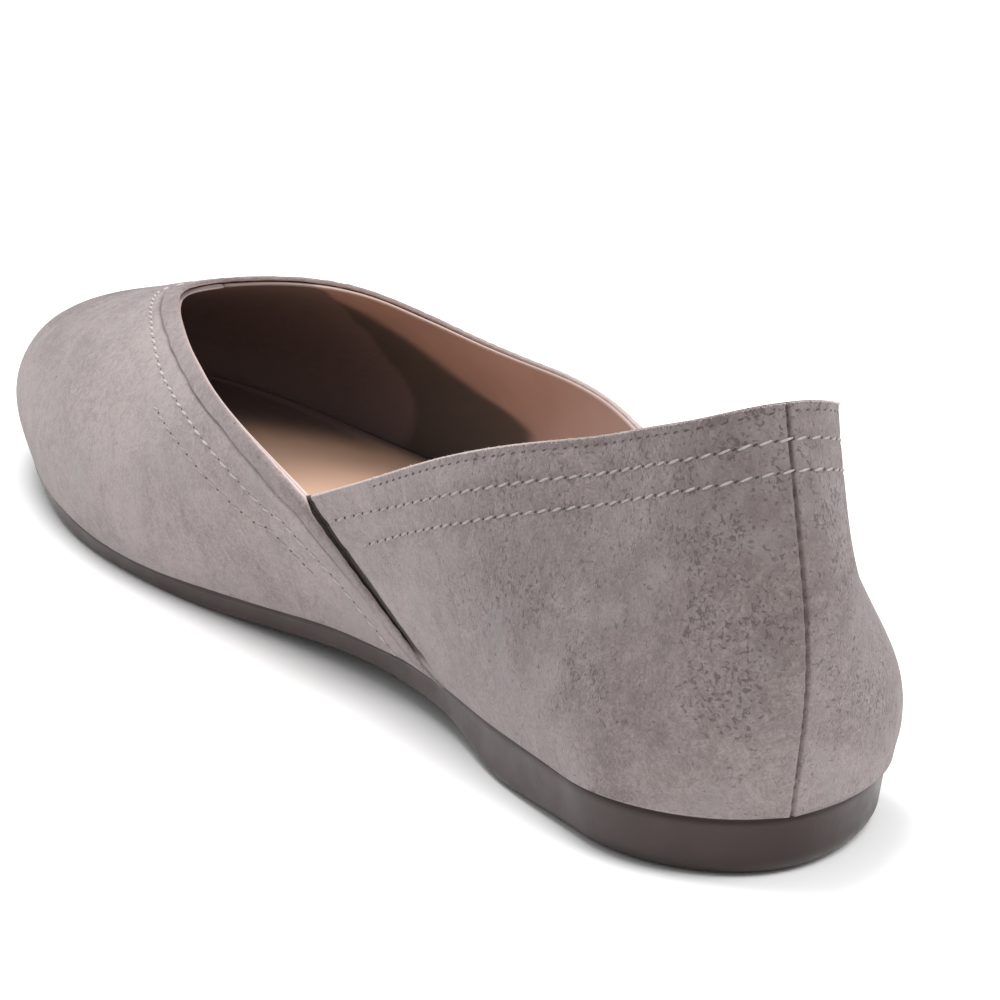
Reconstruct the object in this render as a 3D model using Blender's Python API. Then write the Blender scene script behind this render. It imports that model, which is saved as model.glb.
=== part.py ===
"""Right women's ballet flat: a hollow upper whose vamp laps over the quarter, a one-piece sole with a low heel,
and an insole. It stands on its sole, toe towards -Y, inner (medial) side towards +X. The origin is on the floor,
at the middle of the heel's flat tread.
"""
import bmesh
import bpy
import numpy as np

MM = 0.001

# Driving dimensions of the last. A station is a share of LENGTH, counted forward from the back of the heel.
LENGTH = 246 * MM  # feather line, back of the heel to tip of the toe
BALL_WIDTH = 72 * MM  # feather line across the ball
TOE_SWING = 9 * MM  # how far the tip of the toe lies towards the medial side
HEEL_CURVE = 27 * MM  # length of the rounded back of the outline
TOE_CURVE = 33 * MM  # length of the rounded front of the outline
INSTEP_HEIGHT = 70 * MM  # ridge of the last above the floor, over the waist
WAIST_OVERHANG = 5 * MM  # how far the upper swells past the sole at the medial waist
BACK_REACH = 34 * MM  # from the back of the heel to the ridge point that the heel's sections lean to
TOE_REACH = 25 * MM  # the same from the tip of the toe
FAN = 2.2  # heel and toe sections lean over this many times those reaches
SWING_START = 0.45  # station where the middle line starts to swing towards the medial side

# Driving dimensions of the upper
WALL = 1.8 * MM
RIM_RISE = 0.6 * MM  # the rounded rim stands this far above the topline
LAP_BOW = 0.5  # below 1 the vamp's rear edge leans forward from the sole first
LAP_STEP = 0.9 * MM  # the vamp's rear edge stands this far proud of the quarter at the notch
LAP_FOOT_STEP = 0.3 * MM  # the same at the sole
LAP_FADE = 26 * MM  # length over which the vamp comes back down to the last
LAP_FOOT = 72.5 * MM  # rear edge of the vamp at the sole, from the back of the heel
NOTCH_REACH = 108 * MM  # bottom of the side notch, from the back of the heel
NOTCH_HEIGHT = 29.4 * MM
BACK_HEIGHT = 69.8 * MM  # top of the back seam above the floor
THROAT_REACH = 197 * MM  # front of the opening, from the back of the heel

# Driving dimensions of the sole and the insole
HEEL_THICKNESS = 9.8 * MM
WAIST_THICKNESS = 5.0 * MM
FORE_THICKNESS = 3.9 * MM
WAIST_LIFT = 3.0 * MM
TOE_SPRING = 7.8 * MM
HEEL_FRONT = 50 * MM  # front of the heel's flat tread, from the back of the heel
BREAST_LENGTH = 26 * MM
WAIST_FRONT = 0.40  # station where the waist's underside starts to come down
BALL_BACK = 0.62  # the forefoot's flat tread runs from this station
BALL_FRONT = 0.74  # to this one
SPRING_MIDDLE = 0.88  # station half way up the curve of the toe spring
SPRING_SHARE = 0.37  # share of the toe spring reached there
EDGE_ROUND = 1.6 * MM
SOLE_INSET = 0.4 * MM  # the upper hangs over the top of the sole by this much
SOLE_TAPER = 0.4 * MM  # the sole's side leans in by this much on its way down
INSOLE_THICKNESS = 2.0 * MM
INSOLE_BEVEL = 0.5 * MM
INSOLE_GAP = 0.6 * MM  # clearance round the insole
GAP = 0.3 * MM  # clearance between sole and upper

# Mesh density
QUARTER_COLUMNS = 12
THROAT_COLUMNS = 17
TOE_COLUMNS = 13
ROWS = 18
EDGE_STEPS = 3
CAP_STRIPS = 6
SHARP_ANGLE = 40  # degrees, above which an edge stays sharp
HALVINGS = 30  # steps of the search for a height on a section

HEEL_MIDDLE = HEEL_FRONT / 2
LAST_COLUMN = QUARTER_COLUMNS + THROAT_COLUMNS + TOE_COLUMNS

# Half widths of the feather line as shares of BALL_WIDTH, and the medial overhang as a share of WAIST_OVERHANG
OUTLINE_COLUMNS = ("station", "medial", "lateral", "overhang")
OUTLINE = (
    (0.00, 0.305, 0.315, 0.0),
    (0.10, 0.315, 0.405, 0.0),
    (0.22, 0.305, 0.380, 0.6),
    (0.36, 0.275, 0.400, 1.0),
    (0.50, 0.350, 0.445, 0.8),
    (0.62, 0.440, 0.500, 0.3),
    (0.72, 0.465, 0.520, 0.0),
    (0.82, 0.415, 0.465, 0.0),
    (0.92, 0.315, 0.375, 0.0),
    (1.00, 0.250, 0.320, 0.0),
)

# Height of the ridge as a share of INSTEP_HEIGHT
RIDGE_COLUMNS = ("station", "height")
RIDGE = (
    (0.10, 1.33),
    (0.25, 1.33),
    (0.40, 1.20),
    (0.52, 0.99),
    (0.62, 0.76),
    (0.72, 0.63),
    (0.82, 0.54),
    (0.90, 0.455),
    (1.00, 0.35),
)

# Topline of the quarter from back seam to notch: share of the way forward, and the share that its height still has
# left of the fall from BACK_HEIGHT to NOTCH_HEIGHT
TOPLINE_COLUMNS = ("forward", "left")
TOPLINE = (
    (0.00, 1.00),
    (0.04, 0.94),
    (0.10, 0.87),
    (0.25, 0.74),
    (0.45, 0.60),
    (0.60, 0.46),
    (0.80, 0.23),
    (1.00, 0.00),
)

# Edge of the opening from the notch to its front: share of the way up the sections, then the share of the way
# forward that the edge has come there on either side
THROAT_COLUMN_NAMES = ("up", "medial", "lateral")
THROAT = (
    (0.00, 0.00, 0.00),
    (0.20, 0.20, 0.32),
    (0.40, 0.38, 0.56),
    (0.60, 0.54, 0.73),
    (0.76, 0.71, 0.81),
    (0.86, 0.87, 0.87),
    (0.94, 0.98, 0.94),
    (1.00, 1.00, 1.00),
)

# One row for each section. Its six inner control points lie at CONTROL_HEIGHTS between feather line and ridge's
# tangent, and each column is how far that point lies inwards, as a share of the way to the ridge. Below zero is
# outwards.
CONTROL_HEIGHTS = (0.10, 0.26, 0.48, 0.70, 0.88, 1.00)
SECTION_COLUMNS = ("station", "foot", "belly", "flank", "shoulder", "brow", "crown")
SECTIONS = (
    (0.00, -0.04, -0.14, 0.00, 0.16, 0.23, 0.60),
    (0.06, -0.04, 0.10, 0.31, 0.33, 0.33, 0.62),
    (0.14, -0.04, 0.06, 0.30, 0.40, 0.37, 0.64),
    (0.36, -0.05, -0.12, -0.10, 0.04, 0.25, 0.64),
    (0.55, -0.05, -0.10, -0.08, 0.10, 0.27, 0.64),
    (0.72, -0.04, -0.08, -0.05, 0.12, 0.30, 0.65),
    (0.88, -0.04, -0.10, -0.05, 0.08, 0.30, 0.66),
    (1.00, -0.08, -0.12, -0.09, 0.02, 0.19, 0.58),
)

# The seat that the upper stands on, above the floor, as a sum of shares of the five heights named in SEAT_HEIGHTS
SEAT_COLUMNS = ("station", "heel", "waist", "lift", "fore", "spring")
SEAT_HEIGHTS = (HEEL_THICKNESS, WAIST_THICKNESS, WAIST_LIFT, FORE_THICKNESS, TOE_SPRING)
SEAT = (
    (0.00, 1.00, 0.0, 0.0, 0.0, 0.0),
    (0.12, 1.01, 0.0, 0.0, 0.0, 0.0),
    (0.24, 0.93, 0.0, 0.0, 0.0, 0.0),
    (0.36, 0.00, 1.0, 1.0, 0.0, 0.0),
    (0.50, 0.00, 0.8, 0.6, 0.0, 0.0),
    (BALL_BACK, 0.0, 0.0, 0.0, 1.0, 0.0),
    (BALL_FRONT, 0.0, 0.0, 0.0, 1.0, 0.0),
    (SPRING_MIDDLE, 0.0, 0.0, 0.0, 1.0, SPRING_SHARE),
    (1.00, 0.00, 0.0, 0.0, 1.0, 1.0),
)


def column(table, names, name):
    """One named column of a table as an array."""
    return np.array([row[names.index(name)] for row in table])


def spline(knots, values):
    """Natural cubic spline through values, which may have several columns."""
    knots = np.asarray(knots, float)
    values = np.asarray(values, float)
    step = np.diff(knots)
    matrix = np.eye(len(knots))
    right = np.zeros_like(values)
    for i in range(1, len(knots) - 1):
        matrix[i, i - 1:i + 2] = step[i - 1], 2 * (step[i - 1] + step[i]), step[i]
        right[i] = 6 * ((values[i + 1] - values[i]) / step[i] - (values[i] - values[i - 1]) / step[i - 1])
    bend = np.linalg.solve(matrix, right)

    def at(place):
        place = np.clip(place, knots[0], knots[-1])
        i = np.clip(np.searchsorted(knots, place, side="right") - 1, 0, len(knots) - 2)
        shape = place.shape + (1,) * (values.ndim - 1)
        t = (place - knots[i]).reshape(shape)
        h = step[i].reshape(shape)
        slope = (values[i + 1] - values[i]) / h - h * (2 * bend[i] + bend[i + 1]) / 6
        return values[i] + t * slope + t**2 * bend[i] / 2 + t**3 * (bend[i + 1] - bend[i]) / (6 * h)

    return at


def level_curve(rows):
    """Curve through (place, height) rows that never swings past them, so two equal rows give a flat stretch."""
    knots, values = np.array(rows, float).T
    step = np.diff(knots)
    rate = np.diff(values) / step
    slope = np.zeros_like(values)
    for i in range(1, len(knots) - 1):
        if rate[i - 1] * rate[i] > 0:
            slope[i] = 2 / (1 / rate[i - 1] + 1 / rate[i])
    slope[-1] = rate[-1]

    def at(place):
        place = np.clip(place, knots[0], knots[-1])
        i = np.clip(np.searchsorted(knots, place, side="right") - 1, 0, len(knots) - 2)
        t = (place - knots[i]) / step[i]
        rise = t**2 * (3 - 2 * t)
        start = t * (1 - t)**2 * step[i] * slope[i]
        end = t**2 * (t - 1) * step[i] * slope[i + 1]
        return values[i] + rise * (values[i + 1] - values[i]) + start + end

    return at


medial_half = spline(column(OUTLINE, OUTLINE_COLUMNS, "station"), column(OUTLINE, OUTLINE_COLUMNS, "medial"))
lateral_half = spline(column(OUTLINE, OUTLINE_COLUMNS, "station"), column(OUTLINE, OUTLINE_COLUMNS, "lateral"))
overhang = spline(column(OUTLINE, OUTLINE_COLUMNS, "station"), column(OUTLINE, OUTLINE_COLUMNS, "overhang"))
ridge = spline(column(RIDGE, RIDGE_COLUMNS, "station"), column(RIDGE, RIDGE_COLUMNS, "height"))
inward = spline(
    column(SECTIONS, SECTION_COLUMNS, "station"),
    np.stack([column(SECTIONS, SECTION_COLUMNS, name) for name in SECTION_COLUMNS[1:]], 1),
)

topline = spline(column(TOPLINE, TOPLINE_COLUMNS, "forward"), column(TOPLINE, TOPLINE_COLUMNS, "left"))
throat_edge = {
    side: spline(column(THROAT, THROAT_COLUMN_NAMES, "up"), column(THROAT, THROAT_COLUMN_NAMES, name))
    for side, name in ((1, "medial"), (-1, "lateral"))
}

seat = spline(
    column(SEAT, SEAT_COLUMNS, "station"),
    sum(height * column(SEAT, SEAT_COLUMNS, name) for height, name in zip(SEAT_HEIGHTS, SEAT_COLUMNS[1:])),
)

# Underside of the sole above the floor
tread = level_curve((
    (0.00, 0.0),
    (HEEL_FRONT / LENGTH, 0.0),
    ((HEEL_FRONT + BREAST_LENGTH) / LENGTH, WAIST_LIFT),
    (WAIST_FRONT, WAIST_LIFT),
    (BALL_BACK, 0.0),
    (BALL_FRONT, 0.0),
    (SPRING_MIDDLE, SPRING_SHARE * TOE_SPRING),
    (1.00, TOE_SPRING),
))


def rounding(station):
    """Share of the full half width that the elliptical back and front of the outline leave."""
    back = np.clip(1 - station * LENGTH / HEEL_CURVE, 0, 1)
    front = np.clip(1 - (1 - station) * LENGTH / TOE_CURVE, 0, 1)
    return np.sqrt(1 - back**2) * np.sqrt(1 - front**2)


def middle(station):
    """Sideways place of the last's middle line."""
    return TOE_SWING * np.clip((station - SWING_START) / (1 - SWING_START), 0, None)**2


def feather(side, station):
    """Feather line, where upper meets sole: sideways and forward."""
    half = medial_half(station) if side > 0 else lateral_half(station)
    return middle(station) + side * half * BALL_WIDTH * rounding(station), station * LENGTH


def ridge_station(station):
    """Station on the ridge that a section leads to. The sections of heel and toe fan in to it."""
    back = BACK_REACH / LENGTH
    front = TOE_REACH / LENGTH
    near_back = np.clip(1 - station / (FAN * back), 0, 1)
    near_front = np.clip(1 - (1 - station) / (FAN * front), 0, 1)
    return station + back * near_back**2 - front * near_front**2


def blend(share):
    """Weights of the eight control points of a section, a clamped cubic B-spline."""
    knots = np.array([0, 0, 0, 0, 1, 2, 3, 4, 5, 5, 5, 5]) / 5
    share = np.clip(share, 0, 1 - 1e-9)
    weights = [((share >= a) & (share < b)).astype(float) for a, b in zip(knots, knots[1:])]
    for degree in (1, 2, 3):
        higher = []
        for i in range(len(weights) - 1):
            total = 0
            if knots[i + degree] > knots[i]:
                total = total + (share - knots[i]) / (knots[i + degree] - knots[i]) * weights[i]
            if knots[i + degree + 1] > knots[i + 1]:
                over = (knots[i + degree + 1] - share) / (knots[i + degree + 1] - knots[i + 1])
                total = total + over * weights[i + 1]
            higher.append(total)
        weights = higher
    return weights


def form(side, station, share):
    """Point of the last's surface on the section from station, at a share of the way up to the ridge."""
    x0, s0 = feather(side, station)
    z0 = seat(station)
    top = ridge_station(station)
    x1, s1, z1 = middle(top), top * LENGTH, ridge(top) * INSTEP_HEIGHT
    nudge = 0.001
    slope = (ridge(top + nudge) - ridge(top - nudge)) * INSTEP_HEIGHT / (2 * nudge * LENGTH)
    shares = inward(station)
    weights = blend(share)
    x = weights[0] * x0 + weights[7] * x1
    s = weights[0] * s0 + weights[7] * s1
    z = weights[0] * z0 + weights[7] * z1
    for k, height in enumerate(CONTROL_HEIGHTS):
        lean = shares[..., k]
        along = s0 + lean * (s1 - s0)
        level = z0 + height * (z1 + slope * (along - s1) - z0)
        x = x + weights[k + 1] * (x0 + lean * (x1 - x0))
        s = s + weights[k + 1] * along
        z = z + weights[k + 1] * level
    if side > 0:
        x = x + WAIST_OVERHANG * overhang(station) * 4 * share * (1 - share)
    return np.stack([x, HEEL_MIDDLE - s, z], -1)


def share_at_height(side, station, height):
    """Share of the way up each section at which it reaches a height, found by halving."""
    low = np.zeros_like(station)
    high = np.ones_like(station)
    for _ in range(HALVINGS):
        half = (low + high) / 2
        below = form(side, station, half)[..., 2] < height
        low = np.where(below, half, low)
        high = np.where(below, high, half)
    return (low + high) / 2


def quarter_lines(side):
    """Foot station, top station and top share of the quarter's columns, from the back seam to the vamp's edge."""
    swing = 1 - np.cos(np.linspace(0, np.pi / 2, QUARTER_COLUMNS + 1))
    foot = swing * LAP_FOOT / LENGTH
    top = swing * NOTCH_REACH / LENGTH
    height = NOTCH_HEIGHT + (BACK_HEIGHT - NOTCH_HEIGHT) * topline(swing)
    return foot, top, share_at_height(side, top, height)


def vamp_lines(side):
    """The same for the vamp: from its rear edge round the throat, then along the ridge to the tip of the toe."""
    along = np.linspace(0, 1, THROAT_COLUMNS + TOE_COLUMNS + 1)
    foot = LAP_FOOT / LENGTH + (1 - LAP_FOOT / LENGTH) * np.sin(along * np.pi / 2)
    notch = NOTCH_REACH / LENGTH
    throat = THROAT_REACH / LENGTH
    start = share_at_height(side, np.array([notch]), NOTCH_HEIGHT)[0]
    round_throat = np.linspace(0, 1, THROAT_COLUMNS + 1)
    to_toe = np.sin(np.linspace(0, np.pi / 2, TOE_COLUMNS + 1))[1:]
    top = np.concatenate([
        notch + (throat - notch) * throat_edge[side](round_throat),
        throat + (1 - throat) * to_toe,
    ])
    share = np.concatenate([start + (1 - start) * round_throat, np.ones(TOE_COLUMNS)])
    return foot, top, share


def sheet(side):
    """Points of the upper on one side: a row of columns from back seam to toe, each from sole to top."""
    lines = [np.concatenate([back[:-1], front]) for back, front in zip(quarter_lines(side), vamp_lines(side))]
    foot, top, share = (line[:, None] for line in lines)
    rise = np.linspace(0, 1, ROWS + 1)[None, :]
    return form(side, foot + (top - foot) * rise**LAP_BOW, share * rise)


def ring_normals(ring):
    """Outward normals of a closed ring of columns."""
    across = np.roll(ring, -1, 0) - np.roll(ring, 1, 0)
    up = np.gradient(ring, axis=1)
    normals = np.cross(up, across)
    return normals / np.linalg.norm(normals, axis=-1, keepdims=True)


def at_height(points, level, lift=0.0):
    """The same points moved up or down to a level that depends on the station, such as the seat."""
    points[..., 2] = level((HEEL_MIDDLE - points[..., 1]) / LENGTH) + lift
    return points


def lap_step(points):
    """How far each point of the outer skin is lifted for the vamp, on the columns from its rear edge on."""
    away = np.linalg.norm(points - points[QUARTER_COLUMNS], axis=-1)
    fade = np.clip(1 - away / LAP_FADE, 0, 1)
    fade = fade**2 * (3 - 2 * fade)
    fade[:QUARTER_COLUMNS] = 0
    return fade * np.linspace(LAP_FOOT_STEP, LAP_STEP, ROWS + 1)


def upper_skins():
    """Outer skin, inner skin and rim of each side. The outer skin has one more column, for the lap's step, and
    repeat names the inner column behind each of its columns."""
    medial = sheet(1)
    lateral = sheet(-1)
    loop = ring_normals(np.concatenate([medial, lateral[LAST_COLUMN - 1:0:-1]]))
    normals = {1: loop[:LAST_COLUMN + 1], -1: np.concatenate([loop[:1], loop[:LAST_COLUMN - 1:-1]])}
    ridge_columns = slice(QUARTER_COLUMNS + THROAT_COLUMNS, None)
    crown = normals[1][ridge_columns, -1] + normals[-1][ridge_columns, -1]
    crown = crown / np.linalg.norm(crown, axis=-1, keepdims=True)
    repeat = np.insert(np.arange(LAST_COLUMN + 1), QUARTER_COLUMNS, QUARTER_COLUMNS)
    skins = {}
    for side, points in ((1, medial), (-1, lateral)):
        normal = normals[side].copy()
        normal[ridge_columns, -1] = crown
        vamp = points + normal * lap_step(points)[..., None]
        outer = np.concatenate([points[:QUARTER_COLUMNS + 1], vamp[QUARTER_COLUMNS:]])
        inner = points - normal * WALL
        at_height(outer[:, 0], seat)
        at_height(inner[:, 0], seat)
        rise = points[:, -1] - points[:, -2]
        rise = rise / np.linalg.norm(rise, axis=-1, keepdims=True)
        rim = (outer[:, -1] + inner[repeat, -1]) / 2 + rise[repeat] * RIM_RISE
        skins[side] = outer, inner, rim, repeat
    return skins


def add_face(bm, corners):
    """A face through its different corners, if at least three are left."""
    kept = list(dict.fromkeys(corners))
    if len(kept) > 2:
        bm.faces.new(kept)


def make_object(name, bm, colour, roughness):
    """Finish a closed mesh as an object with its own material, shaded smooth."""
    bmesh.ops.recalc_face_normals(bm, faces=bm.faces)
    mesh = bpy.data.meshes.new(name)
    bm.to_mesh(mesh)
    bm.free()
    mesh.shade_smooth()
    mesh.set_sharp_from_angle(angle=np.radians(SHARP_ANGLE))
    material = bpy.data.materials.new(name)
    material.use_nodes = True
    shader = material.node_tree.nodes["Principled BSDF"]
    shader.inputs["Base Color"].default_value = (*colour, 1)
    shader.inputs["Roughness"].default_value = roughness
    shader.inputs["Metallic"].default_value = 0
    mesh.materials.append(material)
    piece = bpy.data.objects.new(name, mesh)
    bpy.data.collections["ballet_flat"].objects.link(piece)


def make_upper():
    """One hollow shell, open at the collar and underneath, with the vamp's rear edge as a step in its wall."""
    bm = bmesh.new()
    known = {}

    def corner(point, *key):
        if key not in known:
            known[key] = bm.verts.new(point)
        return known[key]

    for side, (outer, inner, rim, repeat) in upper_skins().items():
        toe = len(outer) - 1
        throat = QUARTER_COLUMNS + 1 + THROAT_COLUMNS

        def shared(i, j):
            return 0 if i in (0, toe) or (j == ROWS and i >= throat) else side

        def out(i, j):
            return corner(outer[i, j], "out", shared(i, j), i, j)

        def inn(i, j):
            return corner(inner[repeat[i], j], "in", shared(i, j), repeat[i], j)

        def top(i):
            return corner(rim[i], "rim", shared(i, ROWS), i)

        for i in range(toe):
            for j in range(ROWS):
                add_face(bm, (out(i, j), out(i + 1, j), out(i + 1, j + 1), out(i, j + 1)))
                add_face(bm, (inn(i, j), inn(i + 1, j), inn(i + 1, j + 1), inn(i, j + 1)))
            add_face(bm, (out(i, 0), out(i + 1, 0), inn(i + 1, 0), inn(i, 0)))
            if i < throat:
                add_face(bm, (out(i, ROWS), out(i + 1, ROWS), top(i + 1), top(i)))
                add_face(bm, (top(i), top(i + 1), inn(i + 1, ROWS), inn(i, ROWS)))
    make_object("upper", bm, (0.39, 0.33, 0.31), 0.9)


def outline(inset):
    """The feather line moved inwards, one row of points for each side from heel to toe, at floor level."""
    stations = (1 - np.cos(np.linspace(0, np.pi, LAST_COLUMN + 1))) / 2
    sides = []
    for side in (1, -1):
        x, s = feather(side, stations)
        sides.append(np.stack([x, HEEL_MIDDLE - s, np.zeros_like(x)], -1))
    loop = np.concatenate([sides[0], sides[1][LAST_COLUMN - 1:0:-1]])
    along = np.roll(loop, -1, 0) - np.roll(loop, 1, 0)
    normal = np.stack([-along[:, 1], along[:, 0], along[:, 2]], -1)
    normal = normal / np.linalg.norm(normal, axis=-1, keepdims=True)
    loop = loop - normal * inset
    return loop[:LAST_COLUMN + 1], np.concatenate([loop[:1], loop[:LAST_COLUMN - 1:-1]])


def make_slab(name, rings, colour, roughness):
    """A slab from rings, top to bottom, each a pair of medial and lateral rows of points. Strips cap both ends."""
    bm = bmesh.new()
    known = {}

    def corner(level, side, i, strip=0):
        medial, lateral = rings[level]
        if i in (0, LAST_COLUMN):
            side, strip = 1, 0
        elif strip == CAP_STRIPS:
            side, strip = -side, 0
        key = level, side, i, strip
        if key not in known:
            start, end = (medial[i], lateral[i]) if side > 0 else (lateral[i], medial[i])
            known[key] = bm.verts.new(start + (end - start) * strip / CAP_STRIPS)
        return known[key]

    for i in range(LAST_COLUMN):
        for side in (1, -1):
            for level in range(len(rings) - 1):
                add_face(bm, (
                    corner(level, side, i), corner(level, side, i + 1),
                    corner(level + 1, side, i + 1), corner(level + 1, side, i),
                ))
        for level in (0, len(rings) - 1):
            for strip in range(CAP_STRIPS):
                add_face(bm, (
                    corner(level, 1, i, strip), corner(level, 1, i + 1, strip),
                    corner(level, 1, i + 1, strip + 1), corner(level, 1, i, strip + 1),
                ))
    make_object(name, bm, colour, roughness)


def make_outsole():
    """The sole, with its heel, waist and toe spring, and a rounded lower edge."""
    rings = [tuple(at_height(row, seat, -GAP) for row in outline(SOLE_INSET))]
    for step in range(EDGE_STEPS + 1):
        turn = step / EDGE_STEPS * np.pi / 2
        inset = SOLE_INSET + SOLE_TAPER + EDGE_ROUND * (1 - np.cos(turn))
        lift = EDGE_ROUND * (1 - np.sin(turn))
        rings.append(tuple(at_height(row, tread, lift) for row in outline(inset)))
    make_slab("outsole", rings, (0.13, 0.10, 0.09), 0.5)


def make_insole():
    """A flat sock inside the upper, lying on the sole."""
    inset = WALL + INSOLE_GAP
    rings = [
        tuple(at_height(row, seat, INSOLE_THICKNESS) for row in outline(inset + INSOLE_BEVEL)),
        tuple(at_height(row, seat, INSOLE_THICKNESS - INSOLE_BEVEL) for row in outline(inset)),
        tuple(at_height(row, seat) for row in outline(inset)),
    ]
    make_slab("insole", rings, (0.55, 0.36, 0.25), 0.7)


for thing in list(bpy.data.objects):
    bpy.data.objects.remove(thing)
bpy.context.scene.collection.children.link(bpy.data.collections.new("ballet_flat"))
make_upper()
make_outsole()
make_insole()
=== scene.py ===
"""Right ballet flat in grey-taupe nubuck on a pale studio floor, seen from behind on its inner side.

The last is drawn as in the CAD model, so every skin of the shoe is that last plus a small outward offset.
Lengths are in metres. The toe points to -Y, the inner (medial) side to +X, and the floor is at z = 0.
"""

import math

import bmesh
import bpy
import numpy as np
from mathutils import Matrix, Vector


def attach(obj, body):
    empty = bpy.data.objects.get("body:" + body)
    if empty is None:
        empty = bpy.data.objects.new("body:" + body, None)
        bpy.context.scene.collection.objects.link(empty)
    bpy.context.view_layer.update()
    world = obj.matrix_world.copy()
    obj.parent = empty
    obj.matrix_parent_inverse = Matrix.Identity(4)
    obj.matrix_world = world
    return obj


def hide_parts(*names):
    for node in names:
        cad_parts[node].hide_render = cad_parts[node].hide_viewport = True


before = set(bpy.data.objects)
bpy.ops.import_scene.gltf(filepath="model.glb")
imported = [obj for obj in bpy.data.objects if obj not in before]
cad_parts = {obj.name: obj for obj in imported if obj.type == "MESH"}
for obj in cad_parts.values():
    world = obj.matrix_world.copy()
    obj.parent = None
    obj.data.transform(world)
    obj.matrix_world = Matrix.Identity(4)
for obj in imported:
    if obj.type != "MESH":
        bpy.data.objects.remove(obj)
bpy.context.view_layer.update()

MM = 0.001

# The last, with the same sizes and tables as the CAD model
LENGTH = 246 * MM
BALL_WIDTH = 72 * MM
TOE_SWING = 9 * MM
HEEL_CURVE = 27 * MM
TOE_CURVE = 33 * MM
INSTEP_HEIGHT = 70 * MM
WAIST_OVERHANG = 5 * MM
BACK_REACH = 34 * MM
TOE_REACH = 25 * MM
FAN = 2.2
SWING_START = 0.45
LAP_BOW = 0.5
LAP_STEP = 0.9 * MM
LAP_FOOT_STEP = 0.3 * MM
LAP_FADE = 26 * MM
LAP_FOOT = 72.5 * MM
NOTCH_REACH = 108 * MM
NOTCH_HEIGHT = 29.4 * MM
BACK_HEIGHT = 69.8 * MM
THROAT_REACH = 197 * MM
HEEL_THICKNESS = 9.8 * MM
WAIST_THICKNESS = 5.0 * MM
FORE_THICKNESS = 3.9 * MM
WAIST_LIFT = 3.0 * MM
TOE_SPRING = 7.8 * MM
HEEL_FRONT = 50 * MM
BREAST_LENGTH = 26 * MM
WAIST_FRONT = 0.40
BALL_BACK = 0.62
BALL_FRONT = 0.74
SPRING_MIDDLE = 0.88
SPRING_SHARE = 0.37
HEEL_MIDDLE = HEEL_FRONT / 2

# Feather line: station, medial and lateral halves by the ball's width, and the share of the waist's overhang
OUTLINE = (
    (0.00, 0.305, 0.315, 0.0),
    (0.10, 0.315, 0.405, 0.0),
    (0.22, 0.305, 0.380, 0.6),
    (0.36, 0.275, 0.400, 1.0),
    (0.50, 0.350, 0.445, 0.8),
    (0.62, 0.440, 0.500, 0.3),
    (0.72, 0.465, 0.520, 0.0),
    (0.82, 0.415, 0.465, 0.0),
    (0.92, 0.315, 0.375, 0.0),
    (1.00, 0.250, 0.320, 0.0),
)
# Topline of the quarter: share of the way forward, and how much of the fall from back to notch is still left
TOPLINE = (
    (0.00, 1.00), (0.04, 0.94), (0.10, 0.87), (0.25, 0.74), (0.45, 0.60), (0.60, 0.46), (0.80, 0.23),
    (1.00, 0.00),
)
# Edge of the opening, notch to throat: share of the way up, medial and lateral shares of the way forward
THROAT = (
    (0.00, 0.00, 0.00),
    (0.20, 0.20, 0.32),
    (0.40, 0.38, 0.56),
    (0.60, 0.54, 0.73),
    (0.76, 0.71, 0.81),
    (0.86, 0.87, 0.87),
    (0.94, 0.98, 0.94),
    (1.00, 1.00, 1.00),
)
# Height of the ridge of the last at stations, as a share of the instep's
RIDGE = (
    (0.10, 1.33), (0.25, 1.33), (0.40, 1.20), (0.52, 0.99), (0.62, 0.76), (0.72, 0.63), (0.82, 0.54),
    (0.90, 0.455), (1.00, 0.35),
)
# Control points of the sections: shares of the way up, and at stations how far each leans in to the ridge
CONTROL_HEIGHTS = (0.10, 0.26, 0.48, 0.70, 0.88, 1.00)
SECTIONS = (
    (0.00, -0.04, -0.14, 0.00, 0.16, 0.23, 0.60),
    (0.06, -0.04, 0.10, 0.31, 0.33, 0.33, 0.62),
    (0.14, -0.04, 0.06, 0.30, 0.40, 0.37, 0.64),
    (0.36, -0.05, -0.12, -0.10, 0.04, 0.25, 0.64),
    (0.55, -0.05, -0.10, -0.08, 0.10, 0.27, 0.64),
    (0.72, -0.04, -0.08, -0.05, 0.12, 0.30, 0.65),
    (0.88, -0.04, -0.10, -0.05, 0.08, 0.30, 0.66),
    (1.00, -0.08, -0.12, -0.09, 0.02, 0.19, 0.58),
)
# Height of the sole's upper face at stations, as shares of these heights
SEAT_HEIGHTS = (HEEL_THICKNESS, WAIST_THICKNESS, WAIST_LIFT, FORE_THICKNESS, TOE_SPRING)
SEAT = (
    (0.00, 1.00, 0.0, 0.0, 0.0, 0.0),
    (0.12, 1.01, 0.0, 0.0, 0.0, 0.0),
    (0.24, 0.93, 0.0, 0.0, 0.0, 0.0),
    (0.36, 0.00, 1.0, 1.0, 0.0, 0.0),
    (0.50, 0.00, 0.8, 0.6, 0.0, 0.0),
    (BALL_BACK, 0.0, 0.0, 0.0, 1.0, 0.0),
    (BALL_FRONT, 0.0, 0.0, 0.0, 1.0, 0.0),
    (SPRING_MIDDLE, 0.0, 0.0, 0.0, 1.0, SPRING_SHARE),
    (1.00, 0.00, 0.0, 0.0, 1.0, 1.0),
)

# The leathers
BROW_SAG = 2.3 * MM  # the soft outer side sinks this much beside the throat
BROW_STATION = 0.715
BROW_LENGTH = 0.09
HEEL_SWELL = 1.35 * MM  # the outer side of the heel bulges this much low down
HEEL_DRAW = 0.7 * MM  # and draws in this much higher up
LEATHER = 0.75 * MM  # thickness of the outer leather
WALL = 1.4 * MM  # leather and lining together
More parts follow.
